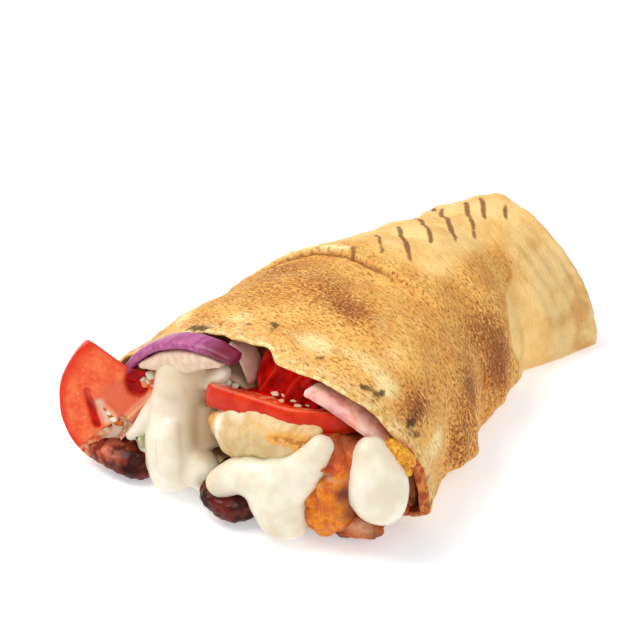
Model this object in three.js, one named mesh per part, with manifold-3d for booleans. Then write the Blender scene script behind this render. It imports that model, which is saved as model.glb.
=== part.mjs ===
// A chicken shawarma wrap lying on its flat side: a toasted flatbread rolled into a flattened
// tube and folded shut at the tail, with chicken, tomato, red onion and garlic sauce showing at
// the open mouth. The chicken strips and the sauce run back through the whole roll.
//
// Millimetres. The shapes are worked out in a working frame: x across the wrap with 0 on its
// axis, y along it from the mouth to the tail with 0 where the sauce meets the table, z up from
// the table. The group is then set so that its origin is the middle of the underside.
import * as THREE from "three";
import { mergeVertices } from "three/addons/utils/BufferGeometryUtils.js";
import Module from "manifold-3d";

const wasm = await Module();
wasm.setup();

// ---------------------------------------------------------------- driving dimensions
const MOUTH_Y = 16; // where the upper lip of the bread ends
const TAIL_Y = 168; // where the folded end lies
const MOUTH_HALF = 59; // half the width of the bread at the mouth
const TAIL_HALF = 42.5; // half its width at the tail
const HEIGHT = 57; // of the bread at the mouth
const TAIL_HEIGHT = 46;
const BREAD = 2.8; // thickness of the flatbread
const FOOT = 0.1; // the filling that hangs out of the mouth ends this far above the table
const FLAP = 2.2; // the outer end of the bread stands this proud of the layer under it
const HOLLOW_END_Y = 156; // the hollow of the bread stops here, short of the folded tail
const FILLING_END_Y = 150; // and the filling here
const FILLING_FRONT_Y = 31; // the packed filling starts here, behind the pieces at the mouth
const GAP = 0.35; // clearance kept between neighbouring pieces

const TOMATO_RADIUS = 31;
const TOMATO_SLICE = 7; // thickness
const ONION_LAYER = 3.2; // thickness of one layer of the onion
const ONION_SLICE = 9; // how thick the onion is sliced

// ---------------------------------------------------------------- small helpers
const clamp01 = (t) => Math.min(1, Math.max(0, t));
const smooth = (t) => clamp01(t) ** 2 * (3 - 2 * clamp01(t));
const bell = (t) => Math.exp(-t * t);
const rad = THREE.MathUtils.degToRad;
const mix = THREE.MathUtils.lerp;
const vec = (x, y, z) => new THREE.Vector3(x, y, z);
const count = (n, make) => Array.from({ length: n }, (unused, k) => make(k));

// The value at x of a smooth curve through the stops [x, value].
function through(stops, x) {
  const last = stops.length - 1;
  if (x <= stops[0][0]) return stops[0][1];
  if (x >= stops[last][0]) return stops[last][1];
  const i = stops.findIndex((stop, k) => k < last && x < stops[k + 1][0]);
  const slope = (k) => {
    const a = stops[Math.max(0, k - 1)];
    const b = stops[Math.min(last, k + 1)];
    return (b[1] - a[1]) / (b[0] - a[0]);
  };
  const [x0, v0] = stops[i];
  const [x1, v1] = stops[i + 1];
  const h = x1 - x0;
  const t = (x - x0) / h;
  return (
    v0 * (1 + 2 * t) * (1 - t) ** 2 +
    slope(i) * h * t * (1 - t) ** 2 +
    v1 * t * t * (3 - 2 * t) +
    slope(i + 1) * h * t * t * (t - 1)
  );
}

// A geometry as a solid that can be joined and cut, and a solid as a geometry.
function solidOf(geometry) {
  const bare = geometry.clone();
  bare.deleteAttribute("normal");
  bare.deleteAttribute("uv");
  const merged = mergeVertices(bare, 1e-3);
  return new wasm.Manifold(
    new wasm.Mesh({
      numProp: 3,
      vertProperties: merged.attributes.position.array,
      triVerts: new Uint32Array(merged.index.array),
    }),
  );
}

function geometryOf(solid) {
  const mesh = solid.getMesh();
  return new THREE.BufferGeometry()
    .setAttribute("position", new THREE.BufferAttribute(mesh.vertProperties, 3))
    .setIndex(new THREE.BufferAttribute(mesh.triVerts, 1));
}

// A closed body from rings of points, each ring the same length, closed at both ends on its
// middle point. Rings run anticlockwise seen from the end that the list starts at.
function loft(rings) {
  const around = rings[0].length;
  const middle = (ring) => ring.reduce((sum, p) => sum.add(p), vec(0, 0, 0)).divideScalar(around);
  const points = [middle(rings[0]), ...rings.flat(), middle(rings.at(-1))];
  const end = rings.length - 1;
  const at = (ring, k) => 1 + ring * around + ((k + around) % around);
  const index = [];
  for (let k = 0; k < around; k++) {
    index.push(0, at(0, k), at(0, k + 1));
    index.push(points.length - 1, at(end, k + 1), at(end, k));
    for (let ring = 0; ring < end; ring++) {
      index.push(at(ring, k), at(ring + 1, k + 1), at(ring, k + 1));
      index.push(at(ring, k), at(ring + 1, k), at(ring + 1, k + 1));
    }
  }
  return solidOf(new THREE.BufferGeometry().setFromPoints(points).setIndex(index));
}

const wrap = new THREE.Group();
wrap.name = "chicken_shawarma_wrap";

// The largest of a cut solid's parts, without the scraps.
const largest = (solid) =>
  solid.decompose().reduce((best, part) => (part.volume() > best.volume() ? part : best));

// Each piece is made by a function of how much it is grown. A mesh of the group is the piece
// as it is, less every piece before it grown by the gap.
const before = [];
function add(name, make, { color, roughness }) {
  const solid = largest(before.reduce((left, other) => left.subtract(other(GAP)), make(0)));
  before.push(make);
  const geometry = geometryOf(solid);
  geometry.computeVertexNormals();
  const material = new THREE.MeshStandardMaterial({ color, roughness, metalness: 0 });
  const mesh = new THREE.Mesh(geometry, material);
  mesh.name = name;
  wrap.add(mesh);
}

// ---------------------------------------------------------------- the rolled bread
// Half widths, height and roundness of the bread along y. The right side is pinched where the
// main roll ends and the folded tail begins.
const RIGHT_HALF = [
  [MOUTH_Y, MOUTH_HALF],
  [30, MOUTH_HALF + 1.5],
  [46, 56],
  [75, 48.5],
  [100, 44.5],
  [122, 38.5],
  [134, 35.5],
  [146, 38.5],
  [TAIL_Y, TAIL_HALF + 2],
];
const LEFT_HALF = [
  [MOUTH_Y, MOUTH_HALF],
  [60, 55],
  [100, 47],
  [140, 44],
  [TAIL_Y, TAIL_HALF],
];
const TOP = [
  [MOUTH_Y, HEIGHT],
  [60, HEIGHT + 1],
  [94, HEIGHT - 3],
  [116, HEIGHT - 4.5],
  [134, TAIL_HEIGHT + 2],
  [146, TAIL_HEIGHT - 0.5],
  [157, TAIL_HEIGHT],
  [TAIL_Y, TAIL_HEIGHT + 1],
];
const WIDEST_Z = [
  [MOUTH_Y, 15],
  [120, 12],
  [TAIL_Y, 6],
];
const RIGHT_ROUNDNESS = [
  [MOUTH_Y, 2.6],
  [80, 2.2],
  [TAIL_Y, 1.72],
];
const LEFT_ROUNDNESS = [
  [MOUTH_Y, 1.85],
  [100, 1.85],
  [TAIL_Y, 1.72],
];
const UNDER_ROUNDNESS = [
  [MOUTH_Y, 3.8],
  [100, 4.5],
  [TAIL_Y, 8],
];
// How far forward the lip reaches at each angle round the mouth: 0 is the right side, 90 the top.
const LIP = [
  [-90, 28],
  [-35, 34],
  [0, 31],
  [25, 24],
  [50, 17.5],
  [78, 14],
  [92, 17.5],
  [130, 18],
  [160, 19],
  [180, 24],
  [270, 28],
];
const ROUND_BREAD = 36; // facets round it
const ALONG_BREAD = 23; // along its outside
const ALONG_HOLLOW = 9; // and along its inside

// Puffs, folds and steps in the bread: how far its outside stands out at y and angle.
function relief(y, degrees) {
  const a = rad(degrees);
  const above = smooth((Math.sin(a) + 0.75) / 0.5);
  const puffs =
    0.6 * Math.sin(0.11 * y + 2 * a) +
    0.45 * Math.sin(0.19 * y - 3 * a + 1.3) +
    0.3 * Math.sin(0.31 * y + 5 * a + 0.4);
  const side = bell((degrees + 12) / 34);
  const folds = 3 * bell((y - 68) / 9) - 1.4 * bell((y - 54) / 6) - 2.4 * bell((y - 90) / 9);
  const crease = -3.2 * bell((y - 137) / 6) * bell((degrees + 8) / 50);
  const shoulder =
    1.8 * bell((y - 80) / 18) * bell((degrees - 132) / 22) -
    2.6 * bell((y - 18) / 14) * bell((degrees - 141) / 18) -
    2 * bell((y - TAIL_Y) / 14) * bell((degrees - 118) / 16);
  const seamY = 82 + 4 * bell((degrees - 112) / 16) - 10 * smooth((degrees - 135) / 45);
  const flap = FLAP * smooth((y - seamY) / 3) * smooth((degrees - 42) / 34);
  return above * (puffs + side * folds + crease + shoulder + flap);
}

// One point of the bread's section at y: inset is measured inwards from the outside.
function breadPoint(y, degrees, inset) {
  const c = Math.cos(rad(degrees));
  const s = Math.sin(rad(degrees));
  const out = relief(y, degrees) - inset;
  const half = through(c >= 0 ? RIGHT_HALF : LEFT_HALF, y);
  const roundness = through(c >= 0 ? RIGHT_ROUNDNESS : LEFT_ROUNDNESS, y);
  const middle = through(WIDEST_Z, y);
  const power = s >= 0 ? roundness : through(UNDER_ROUNDNESS, y);
  const rise = s >= 0 ? through(TOP, y) - middle + out : middle + 0.8 - inset;
  const x = Math.sign(c) * (half + out) * Math.abs(c) ** (2 / power);
  const z = middle + Math.sign(s) * rise * Math.abs(s) ** (2 / power);
  return vec(x, y, Math.max(z, inset));
}

// Angles round the bread, closer together over the top than underneath.
const ANGLES = count(ROUND_BREAD, (k) => {
  const even = (360 * k) / ROUND_BREAD - 90;
  return even + 14 * Math.sin(rad(2 * even));
});

// A ring of the bread between its lip, share 0, and its tail, share 1. forward moves the lip.
function breadRing(share, inset, forward = 0) {
  return ANGLES.map((degrees) => {
    const lip = through(LIP, degrees) - forward;
    return breadPoint(mix(lip, TAIL_Y, share), degrees, inset);
  });
}

// The tail is folded shut: its lower half is turned up first, and its upper half down over it
// to a slanting edge. Rings that shrink towards the middle, each with its scale and how far it
// stands out past the tail.
const TAIL_FOLD = [
  [1.0, 0],
  [0.965, 2.2],
  [0.87, 3.3],
  [0.68, 2.6],
  [0.46, 1.4],
  [0.22, 0.8],
];
const TAIL_MIDDLE = vec(0, 0, TAIL_HEIGHT * 0.42);
const tailRing = ([scale, out]) =>
  breadRing(1, 0).map((p) => {
    const q = p.clone().sub(TAIL_MIDDLE).multiplyScalar(scale);
    const edge = 0.16 * q.x - 2;
    const over = BREAD * (smooth((q.z - edge) / 5) - 0.6) * smooth((1 - scale) / 0.25);
    return vec(q.x, TAIL_Y + out + over, Math.max(q.z + TAIL_MIDDLE.z, 0));
  });

// The bread is one cup: from the bottom of its hollow, forwards along the inside, round the
// lip and back along the outside to the tail.
function breadCup(grow) {
  const deepest = (HOLLOW_END_Y - MOUTH_Y) / (TAIL_Y - MOUTH_Y);
  const inside = count(ALONG_HOLLOW + 1, (k) =>
    breadRing(deepest * (1 - k / ALONG_HOLLOW), BREAD + grow, grow),
  );
  const outside = count(ALONG_BREAD, (k) => breadRing(k / ALONG_BREAD, -grow, grow));
  return loft([...inside, ...outside, ...TAIL_FOLD.map(tailRing)]);
}
add("flatbread", breadCup, { color: 0xe8b873, roughness: 0.8 });

// ---------------------------------------------------------------- tomato slices
const TOMATO = { color: 0xd8402a, roughness: 0.3 };
const ROUND_TOMATO = 26;

// A slice of tomato. out is the way that its cut face looks and along lies in that face. cuts
// are straight sides: [degrees from along, distance from the middle, and between which degrees
// they hold]. seeds are the seed hollows in the face: [degrees, distance, half width, depth]. The
// skin slants outwards behind the face.
function tomatoSlice({ middle, out, along, radius, cuts, seeds }) {
  const w = out.clone().normalize();
  const u = along.clone().addScaledVector(w, -along.dot(w)).normalize();
  const v = w.clone().cross(u);
  const reach = (a) =>
    cuts.reduce((r, [direction, distance, first = -1, last = 361]) => {
      const towards = Math.cos(a - rad(direction));
      const held = towards > 0.05 && a > rad(first) && a < rad(last);
      return held ? Math.min(r, distance / towards) : r;
    }, radius);
  const hollow = (x, y) =>
    seeds.reduce((sum, [degrees, distance, half, depth]) => {
      const dx = x - distance * Math.cos(rad(degrees));
      const dy = y - distance * Math.sin(rad(degrees));
      return sum + depth * bell(Math.hypot(dx, dy) / half);
    }, 0);
  return (grow) => {
    const ring = (share, depth) =>
      count(ROUND_TOMATO, (k) => {
        const a = (2 * Math.PI * k) / ROUND_TOMATO;
        const r = (reach(a) + grow) * share;
        const x = r * Math.cos(a);
        const y = r * Math.sin(a);
        const face = depth < TOMATO_SLICE / 2;
        const sunk = face && share < 0.9 ? hollow(x, y) : 0;
        const rise = face ? grow - sunk - depth : -grow - depth;
        return middle.clone().addScaledVector(u, x).addScaledVector(v, y).addScaledVector(w, rise);
      });
    return loft([
      ...[0.25, 0.5, 0.74].map((share) => ring(share, 0)),
      ring(0.97, 0),
      ring(0.996, 0.3 * TOMATO_SLICE),
      ring(1, 0.7 * TOMATO_SLICE),
      ring(0.95, TOMATO_SLICE),
      ring(0.5, TOMATO_SLICE),
    ]);
  };
}

// Standing on its edge at the left of the mouth, a corner cut off its top.
const leftSlice = tomatoSlice({
  middle: vec(-37.2, 8.7, 23.3),
  out: vec(0.44, -0.89, 0.1),
  along: vec(1, 0, 0),
  radius: 0.85 * TOMATO_RADIUS,
  cuts: [
    [58, 10, 103, 200],
    [84, 13.6, 0, 103],
    [38, 12.5],
    [322, 4.2],
    [270, 22],
  ],
  seeds: [
    [100, 8, 4.5, 4],
    [176, 14.5, 3.5, 3.5],
    [202, 15.5, 3.5, 3.5],
  ],
});
add("tomato_slice_left", leftSlice, TOMATO);

// Lying across the mouth, its rear under the bread.
const middleSlice = tomatoSlice({
  middle: vec(14.5, 39.5, 39),
  out: vec(-0.05, 0.12, 1),
  along: vec(1, 0, 0),
  radius: 1.25 * TOMATO_RADIUS,
  cuts: [
    [180, 23],
    [90, 6],
    [0, 28],
    [-30, 32.6],
    [-60, 33.4],
    [-90, 32],
  ],
  seeds: [-105, -75, -45].map((degrees) => [degrees, 26, 6, 2.5]),
});
add("tomato_slice_middle", middleSlice, TOMATO);

// A small wet piece standing behind it, against the bread.
const innerPiece = tomatoSlice({
  middle: vec(16.5, 19, 46.5),
  out: vec(-0.1, -0.9, 0.4),
  along: vec(1, 0, -0.25),
  radius: 0.42 * TOMATO_RADIUS,
  cuts: [[90, 7]],
  seeds: [[-10, 4, 3.5, 2]],
});
add("tomato_piece_inner", innerPiece, { color: 0x8c1208, roughness: 0.2 });

// ---------------------------------------------------------------- strips along a path
// A body round a path. at(t) is the path's point, wide and high the half sizes of the section
// along its directions across and rise at t and angle a. The ends are rounded off.
const STRIP_ENDS = [0.4, 0.78, 0.96];
function strip({ steps, round, power, at, across, rise, wide, high }) {
  return (grow) => {
    const ring = (t, scale) => {
      const [u, v] = [across(t), rise(t)];
      return count(round, (k) => {
        const a = (2 * Math.PI * k) / round;
        const [c, s] = [Math.cos(a), Math.sin(a)];
        const x = (wide(t, a) * scale + grow) * Math.sign(c) * Math.abs(c) ** (2 / power);
        const y = (high(t, a) * scale + grow) * Math.sign(s) * Math.abs(s) ** (2 / power);
        const p = at(t).addScaledVector(u, x).addScaledVector(v, y);
        return p.setZ(Math.max(p.z, FOOT - grow));
      });
    };
    const ends = STRIP_ENDS.map((scale, k) => [(0.6 * k) / STRIP_ENDS.length / steps, scale]);
    const start = ends.map(([t, scale]) => ring(t, scale));
    const body = count(steps - 1, (k) => ring((k + 1) / steps, 1));
    const finish = ends.toReversed().map(([t, scale]) => ring(1 - t, scale));
    return loft([...start, ...body, ...finish]);
  };
}

// ---------------------------------------------------------------- chicken
// A torn strip of chicken lying along the wrap, from its end at the mouth to its other end.
// from and to are the middles of its ends, half its half sizes at each, tilt how far it is
// rolled over, in degrees. Its section swells and shrinks along it.
function chickenStrip({ from, to, half, halfEnd, tilt, lump, phase, ...rest }) {
  const { steps = 8, round = 10, power = 2.3 } = rest;
  const ragged = (t, a) =>
    1 +
    lump *
      (0.5 * Math.sin(3 * a + 9 * t + phase) +
        0.35 * Math.sin(5 * a - 14 * t + 2 * phase) +
        0.4 * Math.sin(23 * t + phase));
  return strip({
    steps,
    round,
    power,
    at: (t) => from.clone().lerp(to, t),
    across: () => vec(Math.cos(rad(tilt)), 0, Math.sin(rad(tilt))),
    rise: () => vec(-Math.sin(rad(tilt)), 0, Math.cos(rad(tilt))),
    wide: (t, a) => mix(half[0], halfEnd[0], smooth(t * 3)) * ragged(t, a),
    high: (t, a) => mix(half[1], halfEnd[1], smooth(t * 3)) * ragged(t, a),
  });
}

const STRIPS = {
  chicken_strip_pale: {
    look: { color: 0xecc88f, roughness: 0.55 },
    from: vec(13.5, 2, 30.5),
    to: vec(2, FILLING_END_Y - 3, 26),
    half: [21, 9.3],
    halfEnd: [16, 8.5],
    tilt: 14,
    lump: 0.08,
    phase: 0.6,
  },
  chicken_strip_spiced: {
    look: { color: 0xdc7a26, roughness: 0.5 },
    from: vec(39.5, 4, 20),
    to: vec(26, FILLING_END_Y - 5, 18),
    half: [9, 18],
    halfEnd: [7, 12],
    tilt: -13,
    lump: 0.08,
    phase: 2.1,
    power: 3,
  },
  chicken_strip_dark_left: {
    look: { color: 0x59200f, roughness: 0.45 },
    from: vec(-41, -2.5, 5.4),
    to: vec(-25, FILLING_END_Y - 4, 14),
    half: [15, 5],
    halfEnd: [11, 8],
    tilt: -4,
    lump: 0.12,
    phase: 3.7,
  },
  chicken_strip_dark_middle: {
    look: { color: 0x471a0e, roughness: 0.45 },
    from: vec(4.5, -4, 6.2),
    to: vec(0, FILLING_END_Y - 2, 9.5),
    half: [11, 5.8],
    halfEnd: [12, 5.2],
    tilt: -8,
    lump: 0.12,
    phase: 5.2,
  },
  pickle_slice: {
    look: { color: 0xb9b48a, roughness: 0.35 },
    from: vec(-33.5, 4.5, 13.5),
    to: vec(-30, 22, 15),
    half: [2.6, 6.5],
    halfEnd: [2.4, 6],
    tilt: 24,
    lump: 0.06,
    phase: 4.4,
    steps: 5,
    round: 8,
  },
  chicken_bit_right: {
    look: { color: 0xb5714a, roughness: 0.5 },
    from: vec(44.5, 12, 6),
    to: vec(47, 34, 8),
    half: [13, 5.6],
    halfEnd: [7, 4],
    tilt: 14,
    lump: 0.14,
    phase: 1.4,
    steps: 5,
    round: 8,
  },
  chicken_crumb_golden: {
    look: { color: 0xe0a347, roughness: 0.6 },
    from: vec(57, 18.5, 33.5),
    to: vec(51, 31, 29),
    half: [3.2, 8],
    halfEnd: [3, 5],
    tilt: 52,
    lump: 0.16,
    phase: 0.2,
    steps: 5,
    round: 8,
  },
};
for (const [name, { look, ...shape }] of Object.entries(STRIPS)) {
  add(name, chickenStrip(shape), look);
}

// ---------------------------------------------------------------- red onion
// A curved piece of an onion layer: middle(degrees) is the point on the layer's mid line, from
// one angle to another, thick its thickness at t and deep its half size along y.
function onionStrip({ middle, from, to, outwards, thick, deep, steps = 9 }) {
  const degreesAt = (t) => mix(from, to, t);
  return strip({
    steps,
    round: 10,
    power: 5,
    at: (t) => middle(degreesAt(t)),
    across: (t) => outwards(degreesAt(t)),
    rise: () => vec(0, 1, 0),
    wide: (t) => thick(t) / 2,
    high: (t) => deep * (0.75 + 0.25 * Math.sin(Math.PI * t)),
  });
}
const radial = (degrees) => vec(Math.cos(rad(degrees)), 0, Math.sin(rad(degrees)));
const PURPLE = { color: 0xa8568c, roughness: 0.35 };

// The outer layers of a half ring, standing over the sauce at the left of the mouth.
const RING = { x: -9.5, z: 15, outside: 39.5 };
const ringAt = (depth, y) => (degrees) =>
  vec(RING.x, y, RING.z).addScaledVector(radial(degrees), RING.outside - depth);
const outerLayer = onionStrip({
  middle: ringAt(ONION_LAYER / 2, 12.5),
  from: 150,
  to: 73,
  outwards: radial,
  thick: () => ONION_LAYER,
  deep: ONION_SLICE / 2,
});
add("onion_ring_purple", outerLayer, PURPLE);
// Under it the paler layers show as one body, thick at its middle and thin at its ends.
const PALE_FROM = 139;
const PALE_TO = 78;
const paleThick = (t) => 1.4 + 6.8 * Math.sin(Math.PI * t);
const innerLayer = onionStrip({
  middle: (degrees) => {
    const t = (degrees - PALE_FROM) / (PALE_TO - PALE_FROM);
    return ringAt(ONION_LAYER + GAP + paleThick(t) / 2, 12)(degrees);
  },
  from: PALE_FROM,
  to: PALE_TO,
  outwards: radial,
  thick: paleThick,
  deep: ONION_SLICE / 2 - 0.5,
});
add("onion_ring_white", innerLayer, { color: 0xe8cfae, roughness: 0.4 });

// A strip along the inside of the right lip.
const lipStrip = onionStrip({
  middle: (degrees) =>
    breadPoint(through(LIP, degrees), degrees, BREAD + GAP + ONION_LAYER / 2 + 0.5),
  from: 66,
  to: 8,
  outwards: radial,
  thick: () => ONION_LAYER,
  deep: 4.8,
});
add("onion_strip_right", lipStrip, { color: 0xb06a74, roughness: 0.35 });

// A bent sliver behind the left end of the middle tomato.
const sliver = onionStrip({
  middle: (degrees) => vec(-7, 19, 29).addScaledVector(radial(degrees), 13.5),
  from: 142,
  to: 40,
  outwards: radial,
  thick: () => 2,
  deep: 4,
});
add("onion_sliver_brown", sliver, { color: 0x9a7040, roughness: 0.35 });

// A pale sheet hanging from the bread beside the half ring.
const sheet = onionStrip({
  middle: (degrees) => vec(-9, 20, 42).addScaledVector(radial(degrees), 11.5),
  from: 72,
  to: -6,
  outwards: radial,
  thick: () => 1.4,
  deep: 4.5,
  steps: 6,
});
add("onion_sheet_pale", sheet, { color: 0xd9bfa6, roughness: 0.35 });

// ---------------------------------------------------------------- garlic sauce
const SAUCE = { color: 0xf6efd9, roughness: 0.35 };

// Sauce that has run along a path of [x, y, z, half width, half depth], depth being along y.
function pour(path, steps, round) {
  const middle = new THREE.CatmullRomCurve3(path.map(([x, y, z]) => vec(x, y, z)));
  const half = new THREE.CatmullRomCurve3(path.map(([, , , wide, deep]) => vec(wide, deep, 0)));
  const rise = (t) => {
    const d = middle.getTangent(t);
    return vec(0, 1, 0).addScaledVector(d, -d.y).normalize();
  };
  return strip({
    steps,
    round,
    power: 2,
    at: (t) => middle.getPoint(t),
    across: (t) => middle.getTangent(t).cross(rise(t)),
    rise,
    wide: (t) => half.getPoint(t).x,
    high: (t) => half.getPoint(t).y,
  });
}
const joined = (pours) => (grow) =>
  pours.map((make) => make(grow)).reduce((whole, next) => whole.add(next));

// A dollop against the inside of the right lip.
const dollop = pour(
  [
    [46.5, 18.5, 38, 4.5, 5],
    [48, 17, 33.5, 8, 8],
    [51, 15.5, 25.5, 10.8, 9.2],
    [52.5, 14.5, 18, 9.8, 8],
    [52.5, 14, 12.5, 5.5, 5],
  ],
  8,
  12,
);
add("garlic_sauce_right", dollop, SAUCE);

// A heavy fold under the pale chicken: from a drip at its left end, over the dark strip and
// down to the table, with an arm up to the tomato.
const middleFold = joined([
  pour(
    [
      [0, 1.5, 9.5, 4.3, 4],
      [3, 2, 13, 5.2, 5],
      [9, 4, 17, 6.2, 7],
      [16.5, 5, 17.5, 8.5, 8],
      [22.5, 4.5, 13, 10.5, 8],
      [25.5, 3.5, 6.5, 8.5, 7],
      [26.5, 3, 1.5, 6.5, 5],
    ],
    12,
    12,
  ),
  pour(
    [
      [17, 6, 17, 7, 6.5],
      [25, 6, 20.5, 9, 7],
      [32, 6, 26, 7.5, 6],
      [36, 6.5, 33, 5.5, 5.5],
      [38, 8.5, 38.5, 4.5, 5],
    ],
    6,
    12,
  ),
]);
add("garlic_sauce_middle", middleFold, SAUCE);

// The sauce round the chicken fills the roll, and a heavy fold of it hangs out of the left of
// the mouth down to the table, with a rounded drip at its right.
const leftFold = pour(
  [
    [-20, 24, 44, 8, 9],
    [-21.5, 19, 39, 10.5, 12],
    [-22.5, 14.5, 29, 9, 11.5],
    [-21.5, 8.5, 17, 9.5, 9.5],
    [-19, 5.5, 8, 9.5, 8],
    [-16.5, 5, 2, 8, 6],
  ],
  10,
  12,
);
const drip = pour(
  [
    [-13, 11, 20, 4, 5],
    [-10.5, 8.5, 13.5, 6.5, 6],
    [-8.5, 8.5, 9, 6.5, 5.5],
    [-9.5, 11, 4.5, 4.5, 4.5],
  ],
  5,
  10,
);
const ALONG_FILLING = 6;
const FILLING_INSET = BREAD + 2;
function packedFilling(grow) {
  const everySecond = ANGLES.filter((degrees, k) => k % 2 === 0);
  const ring = (k, scale) =>
    everySecond.map((degrees) => {
      const y = mix(FILLING_FRONT_Y, FILLING_END_Y, k / ALONG_FILLING);
      const p = breadPoint(y, degrees, FILLING_INSET - grow);
      return vec(p.x * scale, y, mix(HEIGHT / 3, p.z, scale));
    });
  return loft([ring(-0.1, 0.6), ...count(ALONG_FILLING + 1, (k) => ring(k, 1))]);
}
add("garlic_sauce", joined([leftFold, drip, packedFilling]), SAUCE);

// ---------------------------------------------------------------- the part's own frame
const box = new THREE.Box3().setFromObject(wrap);
wrap.position.set(-(box.min.x + box.max.x) / 2, -(box.min.y + box.max.y) / 2, -box.min.z);

export default wrap;
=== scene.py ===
import bpy
import numpy as np
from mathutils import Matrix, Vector


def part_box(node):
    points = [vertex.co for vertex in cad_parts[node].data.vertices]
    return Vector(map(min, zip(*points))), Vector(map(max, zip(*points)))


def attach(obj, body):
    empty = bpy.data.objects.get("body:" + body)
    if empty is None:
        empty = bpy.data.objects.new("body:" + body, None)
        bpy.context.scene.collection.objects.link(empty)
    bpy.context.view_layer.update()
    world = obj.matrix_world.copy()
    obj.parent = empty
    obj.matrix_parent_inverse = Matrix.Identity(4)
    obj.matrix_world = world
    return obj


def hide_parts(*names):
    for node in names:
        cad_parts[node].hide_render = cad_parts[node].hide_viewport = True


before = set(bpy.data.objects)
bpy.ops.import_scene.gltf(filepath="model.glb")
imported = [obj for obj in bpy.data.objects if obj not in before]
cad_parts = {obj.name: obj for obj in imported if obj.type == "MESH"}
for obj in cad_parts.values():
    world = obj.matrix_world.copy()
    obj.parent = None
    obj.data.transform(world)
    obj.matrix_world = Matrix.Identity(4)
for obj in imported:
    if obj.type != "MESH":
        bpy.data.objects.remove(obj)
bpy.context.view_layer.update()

scene = bpy.context.scene

# ------------------------------------------------------------------ the rolled flatbread
# One round flatbread, baked until it blisters and browns in patches, rolled into a flattened tube
# with its outer end as a flap across the top, pressed on a grill and folded shut at the tail.
MM = 0.001
MOUTH_Y = 16
TAIL_Y = 168
MOUTH_HALF = 59
TAIL_HALF = 42.5
HEIGHT = 57
TAIL_HEIGHT = 46
BREAD = 2.8
FLAP = 2.2
HOLLOW_END_Y = 156
AROUND = 300  # points of a ring, from the underside on; the first quarter ends at the right side
HOLLOW, ROUNDED, OUTER, FOLDED = range(4)  # the kinds of ring, in their order
LIP_BULGE = 1.1  # how far the cut edge of the bread is rounded forwards
PRESSED = 0.8  # how much of the rounded underside is pressed flat
RING_SPREAD = 14  # degrees by which a ring's points are drawn towards its top and underside
TAIL_CENTRE = (0, 0, TAIL_HEIGHT * 0.42)
FOLD_SLOPE, FOLD_DROP = 0.16, 2  # the line at which the outer layer of the folded tail ends
RIGHT_HALF = [
    (MOUTH_Y, MOUTH_HALF), (30, MOUTH_HALF + 1.5), (46, 56), (75, 48.5), (100, 44.5),
    (122, 38.5), (134, 35.5), (146, 38.5), (TAIL_Y, TAIL_HALF + 2),
]
LEFT_HALF = [(MOUTH_Y, MOUTH_HALF), (60, 55), (100, 47), (140, 44), (TAIL_Y, TAIL_HALF)]
TOP = [
    (MOUTH_Y, HEIGHT), (60, HEIGHT + 1), (94, HEIGHT - 3), (116, HEIGHT - 4.5),
    (134, TAIL_HEIGHT + 2), (146, TAIL_HEIGHT - 0.5), (157, TAIL_HEIGHT), (TAIL_Y, TAIL_HEIGHT + 1),
]
WIDEST_Z = [(MOUTH_Y, 15), (120, 12), (TAIL_Y, 6)]
RIGHT_ROUNDNESS = [(MOUTH_Y, 2.6), (80, 2.2), (TAIL_Y, 1.72)]
LEFT_ROUNDNESS = [(MOUTH_Y, 1.85), (100, 1.85), (TAIL_Y, 1.72)]
UNDER_ROUNDNESS = [(MOUTH_Y, 3.8), (100, 4.5), (TAIL_Y, 8)]
LIP = [
    (-90, 28), (-35, 34), (0, 31), (25, 24), (50, 17.5), (78, 14), (92, 17.5), (130, 18),
    (160, 19), (180, 24), (270, 28),
]
TAIL_FOLD = [(1.0, 0), (0.965, 2.2), (0.87, 3.3), (0.68, 2.6), (0.46, 1.4), (0.22, 0.8)]
PUFFS = [  # height, waves along, waves around, phase
    (0.6, 0.11, 2, 0), (0.45, 0.19, -3, 1.3), (0.3, 0.31, 5, 0.4),
]
SWELLS = [  # y, angle, half length, half angle, height
    (68, -12, 9, 34, 3.0), (54, -12, 6, 34, -1.4), (90, -12, 9, 34, -2.4), (137, -8, 6, 50, -3.2),
    (80, 132, 18, 22, 1.8), (18, 141, 14, 18, -2.6), (TAIL_Y, 118, 14, 16, -2.0),
]


def smooth(t):
    """0 below 0, 1 above 1, and 3t² − 2t³ between."""
    t = np.clip(t, 0, 1)
    return t * t * (3 - 2 * t)


def ramp(x, start, over):
    """A smooth rise from 0 at start to 1 at start + over, which may lie before it."""
    return smooth((x - start) / over)


def bell(t):
    """e to the power −t²."""
    return np.exp(-t * t)


def hump(x, middle, half):
    """A bell about the middle."""
    return bell((x - middle) / half)


def mix(a, b, t):
    """a where t is 0, b where t is 1, and a straight line between."""
    return a + (b - a) * t


def through(stops, x):
    """The height at x of a smooth curve through the stops (x, height): between two stops, the cubic
    whose slope at each stop is that of the line through the stop's neighbours."""
    place, height = np.array(stops, float).T
    last = len(place) - 1
    x = np.clip(x, place[0], place[-1])
    i = np.clip(np.searchsorted(place, x, side="right") - 1, 0, last - 1)
    low, high = np.maximum(np.arange(last + 1) - 1, 0), np.minimum(np.arange(last + 1) + 1, last)
    slope = (height[high] - height[low]) / (place[high] - place[low])
    span = place[i + 1] - place[i]
    t = (x - place[i]) / span
    start = height[i] * (1 + 2 * t) * (1 - t) ** 2 + slope[i] * span * t * (1 - t) ** 2
    return start + height[i + 1] * t * t * (3 - 2 * t) + slope[i + 1] * span * t * t * (t - 1)


CORNER_HEIGHTS = np.random.default_rng(5).uniform(-1, 1, 8192)
CORNER_MIX = (73856093, 19349663, 83492791)  # scatters the cells' corners over the heights
SEED_STEP = 17.3  # how many cells away the next seed's noise begins


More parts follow.
